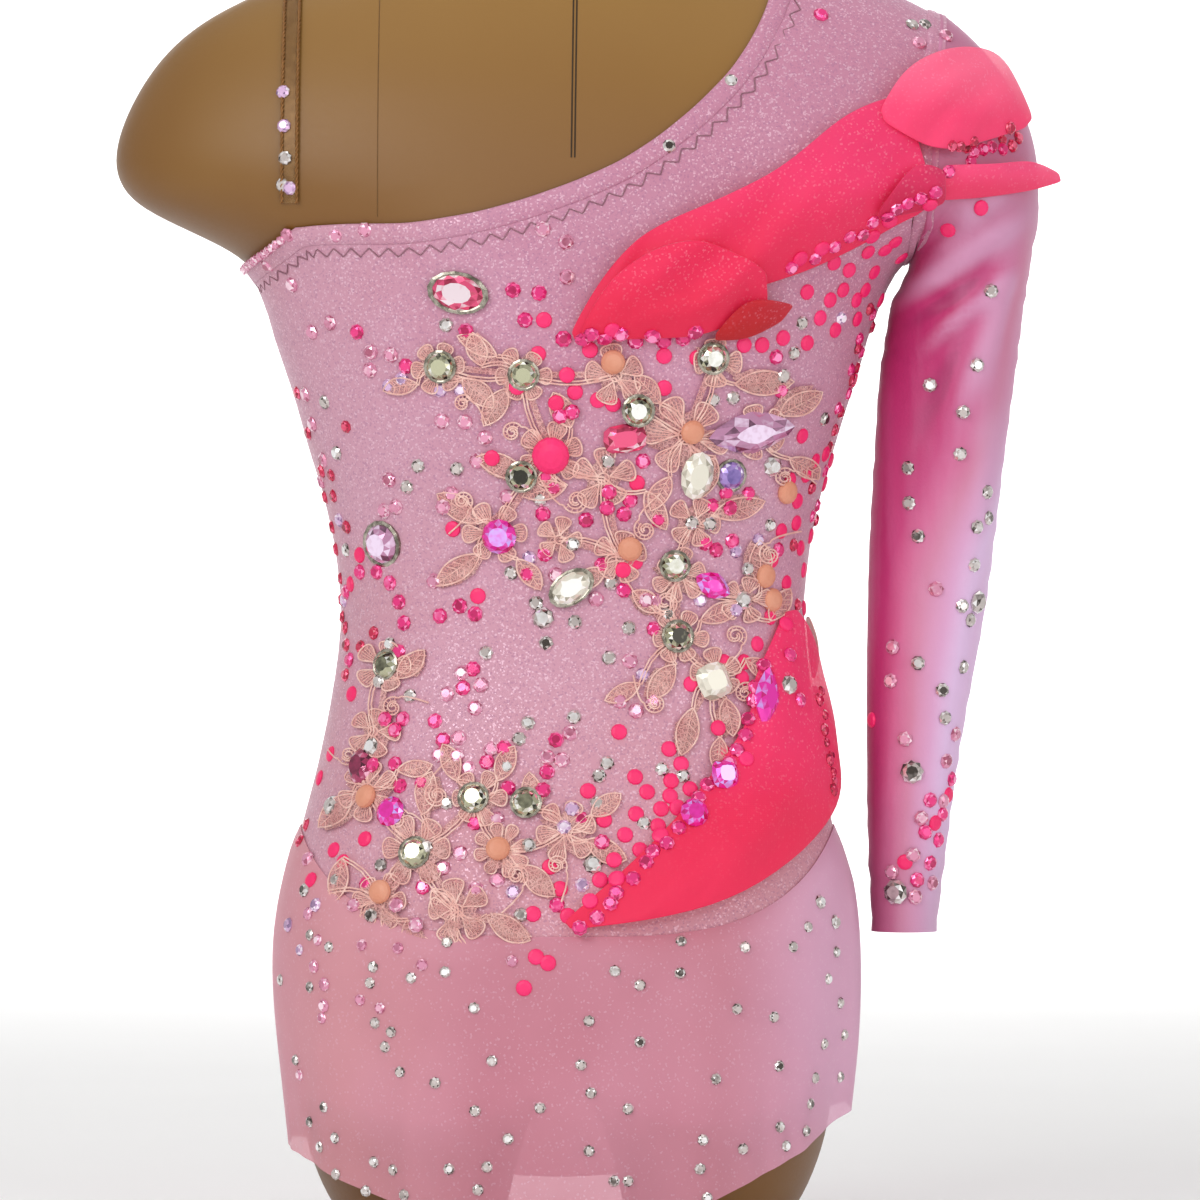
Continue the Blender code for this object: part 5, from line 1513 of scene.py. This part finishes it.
for node, (long, wide, turn, model, colour, claw) in bigStones.items():
    middle = sum(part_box(node), Vector()) / 2
    base, normal, _, _ = formTree.find_nearest(middle)
    ground = (middle - base).length / mm - min(long, wide) * bigSeat["sunk"]
    seat = base + normal * (ground * mm)
    high = min(long, wide) * bigSeat["high"]
    gem = strew(node + "_cut", model, [(seat, normal, long / 2, wide / 2, high, turn)],
                bigPaints[colour], slotOf[node])
    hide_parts(node)
    if claw:
        rims.append((seat, normal, long / 2, wide / 2, min(long, wide) * bigSeat["claw"], turn))
strew("stoneSettings", ringCut, rims, settingMetal(), "gem_champagne")
print("large stones")

# Strap: two glitter cords, a net between them, and sewn stones

strapPlan = {"x": -115.5, "half": 3.1, "cord": 0.5, "twist": 0.42, "turns": 60, "cordLift": 1.5,
             "netLift": 1.1, "from": 185, "sweep": 190, "steps": 60, "centreZ": 440, "lowest": 420}


def strapPath(offset, lift):
    path = []
    for step in range(strapPlan["steps"] + 1):
        angle = math.radians(strapPlan["from"] - strapPlan["sweep"] * step / strapPlan["steps"])
        centre = place(strapPlan["x"], 0, strapPlan["centreZ"])
        way = Vector((0, math.cos(angle), math.sin(angle)))
        hit, normal, _, _ = formTree.ray_cast(centre + Vector((offset * mm, 0, 0)), way)
        if hit and hit.z > strapPlan["lowest"] * mm:
            path.append(hit + normal * lift * mm)
    return softened(path, 3)


def twisted(path, radius, turns):
    strands = []
    for strand in (0, 0.5):
        line = []
        for index, spot in enumerate(path):
            before, after = path[max(index - 1, 0)], path[min(index + 1, len(path) - 1)]
            ahead = (after - before).normalized()
            aside = ahead.cross(Vector((1, 0, 0))).normalized()
            angle = math.tau * (turns * index / len(path) + strand)
            line.append(spot + (Vector((1, 0, 0)) * math.cos(angle) + aside * math.sin(angle)) * radius * mm)
        strands.append(line)
    return strands


goldCord = plainThread("goldCord", rgb(150, 104, 56), 0.35, 0.5)
edges = []
for offset in (-strapPlan["half"], strapPlan["half"]):
    line = evenly(strapPath(offset, strapPlan["cordLift"]), 1.0 * mm)
    edges += twisted(line, strapPlan["twist"], strapPlan["turns"])
finishPiece(threadPiece("strapCords", edges, strapPlan["cord"]), goldCord, "strap_cord", "strap")
shape = bmesh.new()
left = [shape.verts.new(spot) for spot in strapPath(-strapPlan["half"], strapPlan["netLift"])]
right = [shape.verts.new(spot) for spot in strapPath(strapPlan["half"], strapPlan["netLift"])]
for index in range(min(len(left), len(right)) - 1):
    shape.faces.new((left[index], right[index], right[index + 1], left[index + 1]))
ribbon = newPiece("strapNetting", shape)
facesOut(ribbon, fromForm)
applyStep(ribbon, "SOLIDIFY", thickness=0.4 * mm, offset=0)
finishPiece(ribbon, strapMesh(), "strap_cord")
strapTree = searchTree(ribbon)
strapStone = {"radius": 3.0, "high": 1.8, "turn": 20}
strapStones = {
    "lilac": ((282, 15), (281, 55), (283, 92), (284, 126), (290, 188)),
    "clear": ((285, 158), (282, -20), (284, -48)),
}
for kind, spots in strapStones.items():
    seats = []
    for px, py in spots:
        found = onDress(px, py, trees=[strapTree])
        if found:
            seats.append((found[0], found[1], strapStone["radius"], strapStone["radius"],
                          strapStone["high"], strapStone["turn"]))
    strew("strapStones_" + kind, roundCut, seats, stonePaints[kind], "gem_lilac")
print("strap")

# Beaded edging at the bare armhole

beadRow = {"every": 3.6, "leftOf": -118, "lift": 2.4, "radius": 2.1, "high": 1.8}
beads = []
for spot in evenly(neckEdge, beadRow["every"] * mm):
    if modelX(spot) < beadRow["leftOf"]:
        near, normal, _, _ = formTree.find_nearest(spot)
        beads.append((near + normal * beadRow["lift"] * mm, normal, beadRow["radius"], beadRow["radius"],
                      beadRow["high"], random.uniform(0, 90)))
strew("armholeBeads", roundCut, beads, stonePaints["rose"], "gem_pink")

# Seams of the form's cover

seamPaint = plainThread("seamShade", rgb(58, 40, 18), 0.7)
paleSeam = plainThread("paleSeam", rgb(118, 82, 36), 0.6)


def formLine(x, high, low, steps=60):
    path = []
    for step in range(steps + 1):
        z = high + (low - high) * step / steps
        hit, normal = formHit(x(z), z)
        if hit:
            path.append(hit + normal * 0.02 * mm)
    return path


centreSeam = [formLine(lambda z, side=side: 1.6 + side + (523 - z) * -0.012, 588, 452)
              for side in (-0.7, 0.7)]
finishPiece(threadPiece("centreSeam", centreSeam, 0.34), seamPaint, "form_cover")
sideSeam = [formLine(lambda z: -79.4, 520, 428)]
finishPiece(threadPiece("sideSeam", sideSeam, 0.22), paleSeam, "form_cover")
print("ready")
